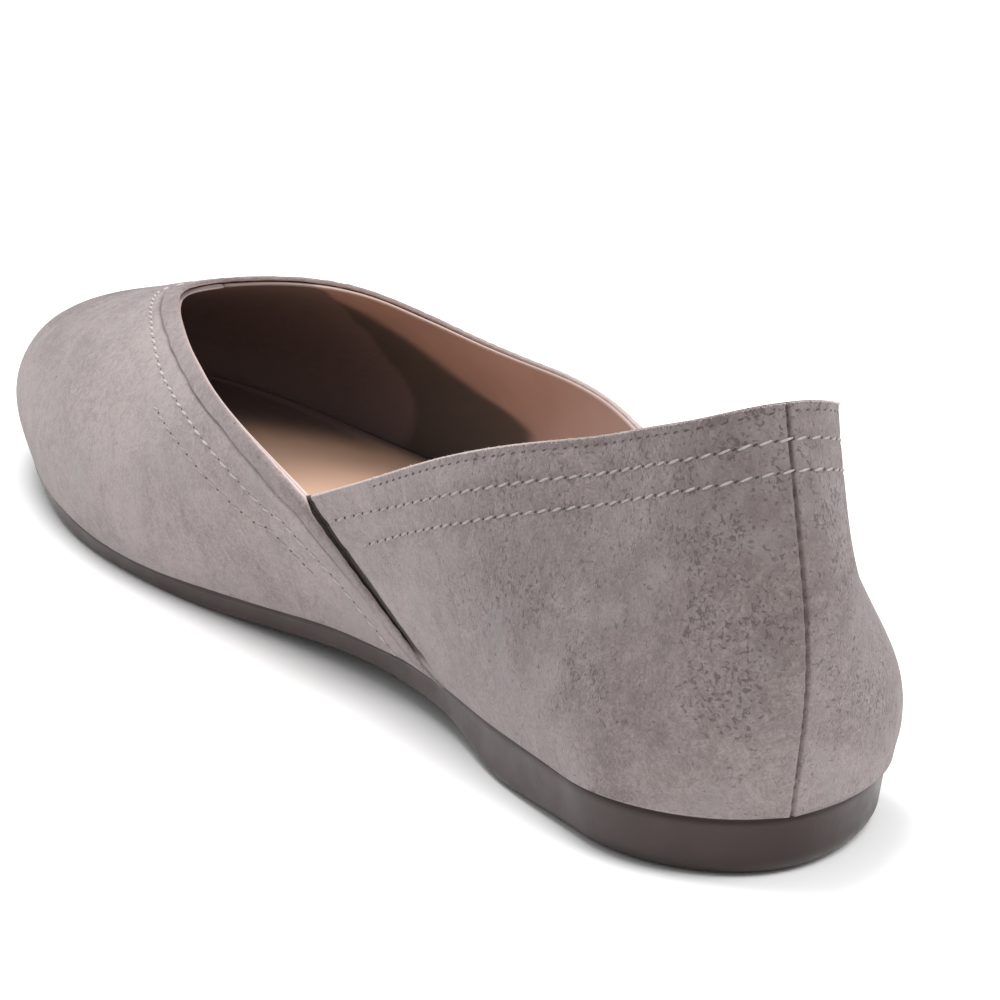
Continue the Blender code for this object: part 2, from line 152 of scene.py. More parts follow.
# How far the lining's edge lies below the leather's at back seam, notch, mid-side and throat, by side
LINING_DROP = {1: (0.4 * MM, 0.7 * MM, 0.5 * MM, 0.2 * MM), -1: (0.4 * MM, 0.2 * MM, 0.1 * MM, 0.1 * MM)}
STITCH_PITCH = 3.0 * MM
HOLE_PITCH = 2.2 * MM
PITCH_SLACK = 0.9995  # keeps a row's last stitch on its line
FUZZ_PITCH = 0.36 * MM / PITCH_SLACK
FOOT_CLEAR = 1.2 * MM  # how far rows stay off a panel's foot
LAP_CLEAR = 2.4 * MM  # and the quarter's rows off the lap
# Turn of the oval shapes against their line, in degrees
THREAD_SLANT = 11
HOLE_SLANT = 20
PINHOLE_SLANT = 12
FUZZ_TANGLE = 75
STITCH_SEED = 5

SIDES = 1, -1  # medial and lateral
FINE = np.linspace(0, 1, 900)  # places for a finely drawn line


def spline(knots, values):
    """Natural cubic spline through values, which may have several columns."""
    knots = np.asarray(knots, float)
    values = np.asarray(values, float)
    step = np.diff(knots)
    matrix = np.eye(len(knots))
    right = np.zeros_like(values)
    for i in range(1, len(knots) - 1):
        matrix[i, i - 1:i + 2] = step[i - 1], 2 * (step[i - 1] + step[i]), step[i]
        right[i] = 6 * ((values[i + 1] - values[i]) / step[i] - (values[i] - values[i - 1]) / step[i - 1])
    bend = np.linalg.solve(matrix, right)

    def at(place):
        place = np.clip(place, knots[0], knots[-1])
        i = np.clip(np.searchsorted(knots, place, side="right") - 1, 0, len(knots) - 2)
        shape = place.shape + (1,) * (values.ndim - 1)
        t = (place - knots[i]).reshape(shape)
        h = step[i].reshape(shape)
        slope = (values[i + 1] - values[i]) / h - h * (2 * bend[i] + bend[i + 1]) / 6
        return values[i] + t * slope + t**2 * bend[i] / 2 + t**3 * (bend[i + 1] - bend[i]) / (6 * h)

    return at


def level_curve(rows):
    """Curve through (place, height) rows that never swings past them."""
    knots, values = np.array(rows, float).T
    step = np.diff(knots)
    rate = np.diff(values) / step
    slope = np.zeros_like(values)
    for i in range(1, len(knots) - 1):
        if rate[i - 1] * rate[i] > 0:
            slope[i] = 2 / (1 / rate[i - 1] + 1 / rate[i])
    slope[-1] = rate[-1]

    def at(place):
        place = np.clip(place, knots[0], knots[-1])
        i = np.clip(np.searchsorted(knots, place, side="right") - 1, 0, len(knots) - 2)
        t = (place - knots[i]) / step[i]
        rise = t**2 * (3 - 2 * t)
        start = t * (1 - t)**2 * step[i] * slope[i]
        end = t**2 * (t - 1) * step[i] * slope[i + 1]
        return values[i] + rise * (values[i + 1] - values[i]) + start + end

    return at


def splines(table):
    """A spline for each further column of a table, through the places in its first."""
    places, *columns = np.array(table).T
    return [spline(places, column) for column in columns]


medial_half, lateral_half, overhang = splines(OUTLINE)
ridge, = splines(RIDGE)
topline, = splines(TOPLINE)
throat_edge = dict(zip(SIDES, splines(THROAT)))
inward = spline(np.array(SECTIONS)[:, 0], np.array(SECTIONS)[:, 1:])
seat = spline(np.array(SEAT)[:, 0], np.array(SEAT)[:, 1:] @ np.array(SEAT_HEIGHTS))
tread = level_curve((
    (0.00, 0.0),
    (HEEL_FRONT / LENGTH, 0.0),
    ((HEEL_FRONT + BREAST_LENGTH) / LENGTH, WAIST_LIFT),
    (WAIST_FRONT, WAIST_LIFT),
    (BALL_BACK, 0.0),
    (BALL_FRONT, 0.0),
    (SPRING_MIDDLE, SPRING_SHARE * TOE_SPRING),
    (1.00, TOE_SPRING),
))


def smooth(share):
    """Soft step from 0 to 1."""
    share = np.clip(share, 0, 1)
    return share * share * (3 - 2 * share)


def bell(away, width):
    """Smooth hump of height 1 where away is 0."""
    return np.exp(-(away / width)**2)


def unit(vectors):
    """Vectors of length 1."""
    return vectors / np.maximum(np.linalg.norm(vectors, axis=-1, keepdims=True), 1e-12)


def feather(side, station):
    """Feather line, where upper meets sole: sideways and forward."""
    half = medial_half(station) if side > 0 else lateral_half(station)
    back = np.clip(1 - station * LENGTH / HEEL_CURVE, 0, 1)
    front = np.clip(1 - (1 - station) * LENGTH / TOE_CURVE, 0, 1)
    half = half * np.sqrt(1 - back**2) * np.sqrt(1 - front**2)
    return middle(station) + side * half * BALL_WIDTH, station * LENGTH


def middle(station):
    """Sideways place of the last's middle line."""
    return TOE_SWING * np.clip((station - SWING_START) / (1 - SWING_START), 0, None)**2


def ridge_station(station):
    """Station on the ridge that a section leads to. The sections of heel and toe fan in to it."""
    back = BACK_REACH / LENGTH
    front = TOE_REACH / LENGTH
    near_back = np.clip(1 - station / (FAN * back), 0, 1)
    near_front = np.clip(1 - (1 - station) / (FAN * front), 0, 1)
    return station + back * near_back**2 - front * near_front**2


def blend(share):
    """Weights of the eight control points of a section, a clamped cubic B-spline."""
    knots = np.array([0, 0, 0, 0, 1, 2, 3, 4, 5, 5, 5, 5]) / 5
    share = np.clip(share, 0, 1 - 1e-9)
    weights = [((share >= a) & (share < b)).astype(float) for a, b in zip(knots, knots[1:])]
    for degree in (1, 2, 3):
        higher = []
        for i in range(len(weights) - 1):
            total = 0
            if knots[i + degree] > knots[i]:
                total = total + (share - knots[i]) / (knots[i + degree] - knots[i]) * weights[i]
            if knots[i + degree + 1] > knots[i + 1]:
                over = (knots[i + degree + 1] - share) / (knots[i + degree + 1] - knots[i + 1])
                total = total + over * weights[i + 1]
            higher.append(total)
        weights = higher
    return weights


def form(side, station, share):
    """Point of the last's surface on the section from station, at a share of the way up to the ridge."""
    x0, s0 = feather(side, station)
    z0 = seat(station)
    top = ridge_station(station)
    x1, s1, z1 = middle(top), top * LENGTH, ridge(top) * INSTEP_HEIGHT
    nudge = 0.001
    slope = (ridge(top + nudge) - ridge(top - nudge)) * INSTEP_HEIGHT / (2 * nudge * LENGTH)
    shares = inward(station)
    weights = blend(share)
    x = weights[0] * x0 + weights[7] * x1
    s = weights[0] * s0 + weights[7] * s1
    z = weights[0] * z0 + weights[7] * z1
    for k, height in enumerate(CONTROL_HEIGHTS):
        lean = shares[..., k]
        along = s0 + lean * (s1 - s0)
        x = x + weights[k + 1] * (x0 + lean * (x1 - x0))
        s = s + weights[k + 1] * along
        z = z + weights[k + 1] * (z0 + height * (z1 + slope * (along - s1) - z0))
    if side > 0:
        x = x + WAIST_OVERHANG * overhang(station) * 4 * share * (1 - share)
    else:
        beside_throat = bell(station - BROW_STATION, BROW_LENGTH)
        z = z - BROW_SAG * beside_throat * smooth((share - 0.2) / 0.35) * smooth((1 - share) / 0.25)
        heel = smooth(station / 0.05) * smooth((0.20 - station) / 0.10)
        above = (z - z0) / MM
        swell = HEEL_SWELL * bell(above - 12, 9) - HEEL_DRAW * bell(above - 36, 9)
        x = x - swell * heel * smooth(above / 5)
    return np.stack([x, HEEL_MIDDLE - s, z], -1)


def outward(side, station, share):
    """Direction out of the last at each point, taken just beside the pole at the front end of the ridge."""
    pole = (station > 0.99) & (share > 0.97)
    station = np.where(pole, 0.99, station)
    share = np.where(pole, 0.97, share)
    near = 2e-4
    ahead = np.clip(station + near, 0, 1)
    behind = np.clip(station - near, 0, 1)
    above = np.clip(share + near * 5, 0, 1)
    below = np.clip(share - near * 5, 0, 1)
    along = form(side, ahead, share) - form(side, behind, share)
    up = form(side, station, above) - form(side, station, below)
    return unit(np.cross(along, up) * -side)


def share_at_height(side, station, height):
    """Share of the way up each section at which it reaches a height."""
    low = np.zeros_like(station)
    high = np.ones_like(station)
    for _ in range(30):
        half = (low + high) / 2
        under = form(side, station, half)[..., 2] < height
        low = np.where(under, half, low)
        high = np.where(under, high, half)
    return (low + high) / 2


# Lines on the last, as stations and shares

def notch_share(side):
    """Share of the way up the last at the notch."""
    return share_at_height(side, np.array([NOTCH_REACH / LENGTH]), NOTCH_HEIGHT)[0]


def lap_line(side, rise):
    """The vamp's rear edge, from the sole to the notch."""
    start = LAP_FOOT / LENGTH
    return start + (NOTCH_REACH / LENGTH - start) * rise**LAP_BOW, notch_share(side) * rise


def throat_line(side, along):
    """The topline of the vamp, from the notch to the middle of the throat."""
    notch = NOTCH_REACH / LENGTH
    start = notch_share(side)
    station = notch + (THROAT_REACH / LENGTH - notch) * throat_edge[side](along)
    return station, start + (1 - start) * along


def back_line(side, along):
    """The topline of the quarter, from the back seam to the notch."""
    swing = 1 - np.cos(along * np.pi / 2)
    station = swing * NOTCH_REACH / LENGTH
    height = NOTCH_HEIGHT + (BACK_HEIGHT - NOTCH_HEIGHT) * topline(swing)
    return station, share_at_height(side, station, height)


def run(points):
    """Length from the first point of a line to each of its points."""
    return np.concatenate([[0], np.cumsum(np.linalg.norm(np.diff(points, axis=0), axis=1))])


def steps(count):
    """Places from 0 to 1 in this many even steps."""
    return np.linspace(0, 1, count + 1)


def even(side, stations, shares, places):
    """Stations and shares at places, 0 to 1, measured by length along a line on the last."""
    length = run(form(side, stations, shares))
    wanted = np.asarray(places) * length[-1]
    return np.interp(wanted, length, stations), np.interp(wanted, length, shares)


def lengths(side, stations, shares):
    """Length from the first point of each row of points to each of its points."""
    points = form(side, stations, shares)
    gaps = np.linalg.norm(np.diff(points, axis=1), axis=2)
    return np.concatenate([np.zeros((len(points), 1)), np.cumsum(gaps, axis=1)], axis=1)


def evenly(first, last, count):
    """Numbers from first to last at even steps."""
    return tuple(first + (last - first) * np.linspace(0, 1, count))


# Profile of a folded leather edge: distance from the edge in millimetres, depth as a share of the thickness
FOLD_EDGE = (0.00, 0.50)
FOLD = (
    (3.00, 1.00), (1.20, 1.00), (0.60, 1.00), (0.36, 0.96), (0.16, 0.84), (0.04, 0.67), FOLD_EDGE,
    (0.04, 0.33), (0.16, 0.16), (0.36, 0.04), (0.60, 0.00),
)
SHORT_COLUMN = 9 * MM  # columns shorter than this have their edge profile squeezed


def panel_rows(side, edge, far, bow, square):
    """Finely drawn rows of points of a panel from its edge line to its far line, their lengths, and how much
    longer each is than the way square to the edge. The rows numbered in square need no such change."""
    share_left = 1 - np.linspace(0, 1, 160)**1.5
    stations = far[0][:, None] + (edge[0] - far[0])[:, None] * share_left**bow
    shares = far[1][:, None] + (edge[1] - far[1])[:, None] * share_left
    length = lengths(side, stations, shares)
    points = form(side, edge[0], edge[1])
    near = form(side, stations[:, 6], shares[:, 6])
    cosine = np.sum(unit(np.gradient(points, axis=0)) * unit(near - points), 1)
    stretch = 1 / np.sqrt(np.clip(1 - cosine**2, 0.25, 1))
    stretch[square] = 1
    squeeze = np.clip(length[:, -1] / SHORT_COLUMN, 1e-3, 1)
    return stations, shares, length, stretch * squeeze


def sample(stations, shares, length, wanted):
    """Stations and shares at wanted lengths along each row of points."""
    picked_stations = np.stack([np.interp(w, at, s) for w, at, s in zip(wanted, length, stations)])
    picked_shares = np.stack([np.interp(w, at, s) for w, at, s in zip(wanted, length, shares)])
    return picked_stations, picked_shares


def panel_grid(side, edge, far, near_rows, far_rows, bow=1.0, square=(), closed=None):
    """Stations, shares, depths and distances from the edge of a panel's grid. Its first rows wrap round the
    folded edge, near_rows lie at distances in millimetres from it, and far_rows spread over what is left.
    A last row turns the foot of the panel in where closed says so."""
    fold = np.array(FOLD)
    distances = np.concatenate([fold[:, 0], near_rows]) * MM
    stations, shares, length, stretch = panel_rows(side, edge, far, bow, list(square))
    wanted = distances[None, :] * stretch[:, None]
    total = length[:, -1:]
    rest = wanted[:, -1:] + (total - wanted[:, -1:]) * steps(far_rows)[1:]
    wanted = np.concatenate([wanted, rest, total], axis=1)
    stations, shares = sample(stations, shares, length, wanted)
    closed = np.ones(len(stations)) if closed is None else closed
    depth = np.concatenate([fold[:, 1], np.zeros(len(near_rows) + far_rows)])
    depth = np.concatenate([np.tile(depth, (len(stations), 1)), closed[:, None]], axis=1)
    return stations, shares, depth, wanted / stretch[:, None]


def both_grids(lines, near_rows, far_rows, **settings):
    """Points, outward ways, stations, shares, depths and distances of a panel's grid on each side."""
    grids = {}
    for side in SIDES:
        stations, shares, *rest = panel_grid(side, *lines(side), near_rows, far_rows, **settings)
        grids[side] = form(side, stations, shares), outward(side, stations, shares), stations, shares, *rest
    return grids


def shared_way(grids, place):
    """Outward way that both sides share where they meet."""
    return unit(grids[1][1][place] + grids[-1][1][place])


def distance_to(points, line):
    """Distance from each point to the nearest point of a finely drawn line."""
    flat = points.reshape(-1, 3)
    least = np.full(len(flat), np.inf)
    for start in range(0, len(line), 40):
        gaps = np.linalg.norm(flat[:, None] - line[None, start:start + 40], axis=2)
        least = np.minimum(least, gaps.min(1))
    return least.reshape(points.shape[:-1])


def softness(points, size, seed):
    """Smooth unevenness between about -1 and 1 from a few waves in fixed directions."""
    random = np.random.default_rng(seed)
    total = np.zeros(points.shape[:-1])
    for _ in range(9):
        direction = unit(random.normal(size=3))
        wave = size * random.uniform(0.7, 1.5)
        total += np.sin(points @ direction * 2 * np.pi / wave + random.uniform(0, 6.28))
    return total / 4


def grid_faces(columns, rows, first, turned):
    """Faces of a grid whose points are numbered from first, column by column."""
    i, j = np.meshgrid(np.arange(columns - 1), np.arange(rows - 1), indexing="ij")
    a = first + i * rows + j
    quads = np.stack([a, a + rows, a + rows + 1, a + 1], -1).reshape(-1, 4)
    return quads[:, ::-1] if turned else quads


def new_object(name, data):
    """An object in the scene."""
    thing = bpy.data.objects.new(name, data)
    bpy.context.scene.collection.objects.link(thing)
    return thing


def finish_mesh(name, points, faces, attributes, material, node):
    """A smooth piece in the scene that rides on the shoe and stands for a CAD node."""
    mesh = bpy.data.meshes.new(name)
    mesh.from_pydata(points.tolist(), [], faces.tolist())
    for key, values in attributes.items():
        numbers = mesh.attributes.new(key, "FLOAT", "POINT").data
        numbers.foreach_set("value", np.ascontiguousarray(values, np.float32).ravel())
    mesh.shade_smooth()
    mesh.materials.append(material)
    piece = new_object(name, mesh)
    weld(piece)
    keep(piece, node)


def weld(piece):
    """Join the halves of a piece where the points of their edges lie on each other."""
    bm = bmesh.new()
    bm.from_mesh(piece.data)
    bmesh.ops.remove_doubles(bm, verts=[vert for vert in bm.verts if vert.is_boundary], dist=2e-6)
    bmesh.ops.dissolve_degenerate(bm, edges=bm.edges, dist=1e-7)
    bm.to_mesh(piece.data)
    bm.free()


def keep(piece, node):
    """Fix a finished piece to the shoe."""
    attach(piece, "root")
    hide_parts(node)


def build_panel(name, halves, attributes, material):
    """One piece of the upper from the grids of its medial and lateral halves."""
    points = []
    faces = []
    first = 0
    for side, grid in halves:
        columns, rows = grid.shape[:2]
        points.append(grid.reshape(-1, 3))
        faces.append(grid_faces(columns, rows, first, side < 0))
        first += columns * rows
    values = {key: np.concatenate([half.ravel() for half in rows]) for key, rows in attributes.items()}
    finish_mesh(name, np.concatenate(points), np.concatenate(faces), values, material, "upper")


# Materials

def add_node(tree, kind, inputs=(), **settings):
    """A node with its settings, and its inputs by name or number, each a value or another node's output."""
    node = tree.nodes.new(kind)
    for key, value in settings.items():
        setattr(node, key, value)
    for key, value in dict(inputs).items():
        if isinstance(value, bpy.types.NodeSocket):
            tree.links.new(value, node.inputs[key])
        else:
            node.inputs[key].default_value = value
    return node


class Shader:
    """A Principled material whose nodes are added one by one."""

    def __init__(self, name, **sockets):
        self.material = bpy.data.materials.new(name)
        self.material.use_nodes = True
        self.tree = self.material.node_tree
        self.surface = self.tree.nodes["Principled BSDF"]
        for socket, value in sockets.items():
            self.surface.inputs[socket.replace("_", " ")].default_value = value
        self.place = self.add("ShaderNodeTexCoord").outputs["Object"]

    def add(self, kind, inputs=(), **settings):
        """A node of this material."""
        return add_node(self.tree, kind, inputs, **settings)

    def noise(self, scale, detail=3.0, rough=0.55, distortion=0.0):
        """Soft noise between 0 and 1, with scale in waves a metre."""
        inputs = {"Vector": self.place, "Scale": scale, "Detail": detail, "Roughness": rough,
                  "Distortion": distortion}
        return self.add("ShaderNodeTexNoise", inputs).outputs["Fac"]

    def ramp(self, value, low, high, start=0.0, end=1.0):
        """Values from low to high, spread smoothly over start to end."""
        inputs = {"Value": value, "From Min": low, "From Max": high, "To Min": start, "To Max": end}
        return self.add("ShaderNodeMapRange", inputs, interpolation_type="SMOOTHSTEP").outputs["Result"]

    def math(self, operation, first, second=0.0):
        """One sum of two values."""
        return self.add("ShaderNodeMath", {0: first, 1: second}, operation=operation).outputs[0]

    def mark(self, name):
        """The piece's own numbers of that name."""
        return self.add("ShaderNodeAttribute", attribute_name=name).outputs["Fac"]

    def mix(self, share, first, second):
        """A colour between two."""
        first, second = ((*colour, 1) if isinstance(colour, tuple) else colour for colour in (first, second))
        return self.add("ShaderNodeMix", {"Factor": share, 6: first, 7: second}, data_type="RGBA").outputs[2]

    def bump(self, height, distance, strength=1.0, below=None):
        """Relief of a height in metres, on top of the relief below."""
        inputs = {"Height": height, "Distance": distance, "Strength": strength}
        if below is not None:
            inputs["Normal"] = below
        return self.add("ShaderNodeBump", inputs).outputs["Normal"]

    def finish(self, colour, roughness=None, normal=None):
        """Link what varies over the surface to the shader."""
        for name, output in (("Base Color", colour), ("Roughness", roughness), ("Normal", normal)):
            if output is not None:
                self.tree.links.new(output, self.surface.inputs[name])
        return self.material


NUBUCK_LIGHT = (0.370, 0.312, 0.307)
NUBUCK_DARK = (0.165, 0.132, 0.130)
NUBUCK_COOL = (0.290, 0.262, 0.264)
NUBUCK_PIT = (0.085, 0.065, 0.062)
# NUBUCK_SHADE is the colour of painted shade.
NUBUCK_SHADE = (0.078, 0.052, 0.047)
RIM_COLOUR = (0.57, 0.475, 0.445)


def nubuck(name, relief):
    """Buffed leather: fine curly fibres, soft clouds, dark pits where the piece is marked for them, and
    painted shade where it is marked for that.
    """
    shader = Shader(name, Roughness=0.95, Specular_IOR_Level=0.2, Sheen_Weight=0.2, Sheen_Roughness=0.5)
    # The pits mark is wear, and over the heel's back also painted shade.
    wear_and_shade = shader.mark("pits")
    clouds = shader.ramp(shader.noise(42, 4, 0.6, 0.6), 0.34, 0.66)
    curls = shader.ramp(shader.noise(620, 3, 0.65, 3.0), 0.36, 0.64)
    fibre = shader.ramp(shader.noise(1500, 3, 0.65, 1.2), 0.34, 0.66)
    flecks = shader.ramp(shader.noise(210, 3, 0.6, 1.6), 0.34, 0.66)
    light = shader.math("MULTIPLY", clouds, 0.20)
    for pattern, weight in ((curls, 0.22), (fibre, 0.16), (flecks, 0.16), (wear_and_shade, -0.46)):
        light = shader.math("ADD", light, shader.math("MULTIPLY", pattern, weight))
    colour = shader.mix(shader.ramp(light, -0.32, 0.66), NUBUCK_DARK, NUBUCK_LIGHT)
    cool = shader.math("MULTIPLY", shader.ramp(shader.noise(75, 3, 0.6), 0.48, 0.70), 0.45)
    colour = shader.mix(cool, colour, NUBUCK_COOL)
    cluster = shader.ramp(shader.noise(95, 3, 0.6), 0.36, 0.66)
    density = shader.math("MULTIPLY", wear_and_shade, shader.math("ADD", 0.55, shader.math("MULTIPLY", cluster, 0.60)))
    pit_noise = shader.noise(1350, 1, 0.5, 0.8)
    limit = shader.math("SUBTRACT", 0.80, shader.math("MULTIPLY", density, 0.26))
    pits = shader.ramp(shader.math("SUBTRACT", pit_noise, limit), -0.07, 0.12)
    colour = shader.mix(shader.math("MULTIPLY", pits, 0.70), colour, NUBUCK_PIT)
    # Painted shade where the piece is marked 'shade': grooves, the gap by the vamp, the seam's slot, the
    # heel's back; on the vamp's strip and toe it only darkens the tone.
    colour = shader.mix(shader.mark("shade"), colour, NUBUCK_SHADE)
    colour = shader.mix(shader.mark("rim"), colour, RIM_COLOUR)
    nap = shader.bump(shader.noise(2600, 2, 0.7), 0.10 * MM, 0.5)
    raised = shader.bump(shader.math("ADD", curls, fibre), 0.09 * MM, relief, nap)
    sunk = shader.bump(shader.math("MULTIPLY", pits, -1.0), 0.16 * MM, 0.7, raised)
    return shader.finish(colour, None, sunk)


LINING_TANS = (0.405, 0.278, 0.245), (0.455, 0.318, 0.280)
SOCK_TANS = (0.60, 0.395, 0.285), (0.65, 0.435, 0.320)
LINING_BROWN = (0.180, 0.140, 0.140)
# LINING_SHADOW is painted shadow inside the lining, between the tan and the toe lining.
LINING_SHADOW = (0.105, 0.090, 0.082)


def smooth_leather(name, roughness, cloud_scale, colours, zones, grain_scale):
    """Smooth leather with soft clouds of two colours, marked zones in their own colours, some of them painted
    shadow, and a fine grain.
    """
    shader = Shader(name, Roughness=roughness, Specular_IOR_Level=0.4)
    colour = shader.mix(shader.ramp(shader.noise(cloud_scale, 3), 0.3, 0.7), *colours)
    for mark, zone_colour in zones:
        colour = shader.mix(shader.mark(mark), colour, zone_colour)
    grain = shader.bump(shader.noise(grain_scale, 3), 0.05 * MM, 0.5)
    return shader.finish(colour, None, grain)


def sole_rubber(name):
    """Satin brown-grey rubber with faint moulding haze, scuffs, and painted shade towards the heel."""
    shader = Shader(name, Specular_IOR_Level=0.42, Specular_Tint=(1.0, 0.84, 0.82, 1.0))
    cloud = shader.ramp(shader.noise(60, 4), 0.3, 0.7)
    colour = shader.mix(cloud, (0.036, 0.025, 0.023), (0.047, 0.034, 0.032))
    # Painted shade: the rubber darkens towards the back of the heel.
    back = shader.add("ShaderNodeSeparateXYZ", {0: shader.place}).outputs["Y"]
    colour = shader.mix(shader.ramp(back, -0.06, 0.01, 0.0, 0.45), colour, (0.012, 0.008, 0.008))
    scuffs = shader.ramp(shader.noise(420, 4, 0.7, 1.0), 0.62, 0.80)
    colour = shader.mix(shader.math("MULTIPLY", scuffs, 0.25), colour, (0.09, 0.072, 0.066))
    roughness = shader.ramp(shader.noise(180, 3), 0.3, 0.7, 0.33, 0.44)
    grain = shader.bump(shader.noise(1400, 2), 0.04 * MM, 0.5)
    return shader.finish(colour, roughness, grain)


def thread_fibre(name, colour):
    """Matte sewing thread, or the shade inside a needle hole."""
    shader = Shader(name, Roughness=0.8, Specular_IOR_Level=0.3)
    twist = shader.ramp(shader.noise(3000, 1), 0.3, 0.7)
    return shader.finish(shader.mix(twist, tuple(0.8 * part for part in colour), colour))


# The vamp

LAP_COLUMNS = 46
VAMP_FAR_ROWS = 56
LAP_START = 0.002  # the first column stands this share of the lap above the sole
FEATHER_COLUMNS = 60
TOE_COLUMNS = 34
VAMP_TURN = 0.60  # station on the feather line that the row from the notch leads to
VAMP_ROWS = (0.9, 1.5, 2.1, 2.5, 2.8, 3.0, 3.2, 3.4, 3.6, 3.85, 4.2) + evenly(4.7, 14.5, 22)


def vamp_lines(side):
    """Edge line of the vamp, from sole to notch to throat, and its far line along the sole and up the toe."""
    lap_places = np.linspace(LAP_START, 1, LAP_COLUMNS)
    lap = even(side, *lap_line(side, FINE), lap_places)
    around = FEATHER_COLUMNS + TOE_COLUMNS
    throat = even(side, *throat_line(side, FINE), steps(around)[1:])
    start = LAP_FOOT / LENGTH
    feather_places = steps(FEATHER_COLUMNS)[1:]
    under_lap = even(side, start + (VAMP_TURN - start) * FINE, 0 * FINE, lap_places)
    under = even(side, VAMP_TURN + (1 - VAMP_TURN) * FINE, 0 * FINE, feather_places)
    toe = even(side, 1 + 0 * FINE, FINE, steps(TOE_COLUMNS)[1:])
    edge = [np.concatenate(pair) for pair in zip(lap, throat)]
    far = [np.concatenate(parts) for parts in zip(under_lap, under, toe)]
    return edge, far


def from_lap(side, points):
    """Distance from each point to the vamp's rear edge."""
    return distance_to(points, form(side, *lap_line(side, np.linspace(0, 1, 300))))


def lap_lift(side, points, shares):
    """How far the vamp stands off the last near its rear edge."""
    height = LAP_FOOT_STEP + (LAP_STEP - LAP_FOOT_STEP) * np.clip(shares / notch_share(side), 0, 1)
    fade = LAP_FADE if side > 0 else LAP_FADE / 2
    return height * smooth(1 - from_lap(side, points) / fade)


STRIP_HEIGHT = 0.14 * MM
GROOVE_DEPTH = 0.34 * MM
SEWN_DEPTH = 0.13 * MM
# The strip and the rows on the vamp: how far forward, and the distance from the edge, in millimetres
VAMP_STRIP = ((70, 2.2), (78, 2.6), (86, 3.7), (96, 3.6), (106, 3.3), (140, 3.3))
VAMP_ROW_1 = (
    (60, 5.8), (77, 6.2), (81, 6.7), (85, 7.8), (89, 8.8), (94, 9.2), (98, 9.2), (103, 8.8), (111, 7.9),
    (118, 7.2), (132, 7.0), (138, 6.6), (144, 6.0), (154, 5.3), (170, 5.0),
)
VAMP_ROW_2 = (
    (80, 9.8), (88, 11.9), (92, 13.1), (97, 14.0), (103, 14.5), (109, 13.8), (118, 12.4), (128, 11.6),
    (170, 10.6),
)
VAMP_ROW_2_BACK = 85 * MM  # the second row is seen from this far forward
VAMP_ROW_2_FRONT = 130 * MM  # to this far, where the nap hides it


def by_table(table):
    """Distance from the edge for points, by how far forward they lie."""
    forward, distance = np.array(table).T * MM
    return lambda points: np.interp(-points[..., 1], forward, distance)


def sewn_dip(distance, wanted):
    """Shallow trough that a row of stitches pulls into the leather."""
    return -SEWN_DEPTH * bell(distance - wanted, 0.65 * MM)


def strip_width(points):
    """Width of the folded strip along the vamp's edge, which wanders a little."""
    return by_table(VAMP_STRIP)(points) + 0.16 * MM * softness(points, 0.008, 11)


def vamp_relief(points, distance):
    """Fine shape of the vamp's outer face: folded strip, its groove, sewn rows, softness of the leather."""
    width = strip_width(points)
    strip = STRIP_HEIGHT * smooth((width - distance) / (0.25 * MM))
    groove = -GROOVE_DEPTH * bell(distance - width, 0.24 * MM)
    fuzz = 0.07 * MM * softness(points, 0.0022, 3) * smooth((width - distance) / MM)
    inner = smooth((distance - 4 * MM) / (9 * MM))
    soft = 0.16 * MM * softness(points, 0.026, 4) * inner
    rows = sewn_dip(distance, by_table(VAMP_ROW_1)(points))
    shown = smooth((-points[..., 1] - VAMP_ROW_2_BACK) / (6 * MM))
    rows = rows + shown * sewn_dip(distance, by_table(VAMP_ROW_2)(points))
    return strip + groove + fuzz + soft + rows


def make_vamp():
    on_toe = slice(LAP_COLUMNS + FEATHER_COLUMNS - 1, None)
    closed = np.concatenate([np.ones(on_toe.start), np.zeros(TOE_COLUMNS + 1)])
    grids = both_grids(vamp_lines, VAMP_ROWS, VAMP_FAR_ROWS, square=(-1,), closed=closed)
    shared = shared_way(grids, -1)
    toe = shared_way(grids, (on_toe, slice(-2, None)))
    halves, rims, shades, pits = [], [], [], []
    for side in SIDES:
        points, normal, _, shares, depth, distance = grids[side]
        normal[-1] = shared
        normal[on_toe, -2:] = toe
        lift = lap_lift(side, points, shares)
        column = np.arange(len(points))[:, None]
        past_notch = smooth((column - LAP_COLUMNS + 4.5) / 4.0)
        thickness = LEATHER + lift * past_notch
        relief = lift + vamp_relief(points, distance)
        grid = points + normal * (relief - thickness * depth)[..., None]
        halves.append((side, grid))
        rims.append(smooth((depth - 0.45) / 0.25) * (distance < 1 * MM))
        width = strip_width(points)
        groove = bell(distance - width, 0.27 * MM) * (depth < 0.01)
        strip = smooth((width - distance) / (0.3 * MM)) * (depth < 0.5)
        forward = smooth((-points[..., 1] - 0.150) / 0.050)
        # Painted shade in the groove beside the strip; the strip and the toe are only darker in tone.
        shades.append((0.40 + 0.18 * softness(points, 0.011, 21)) * groove + 0.10 * strip + 0.17 * forward)
        high = smooth((points[..., 2] - 0.018) / 0.012)
        pits.append(0.12 + 0.58 * forward * high + 0.1 * forward + 0.30 * strip * (1 - forward))
    values = {"rim": rims, "shade": shades, "pits": pits}
    build_panel("vamp", halves, values, nubuck("nubuck_vamp", 0.35))


# The quarter

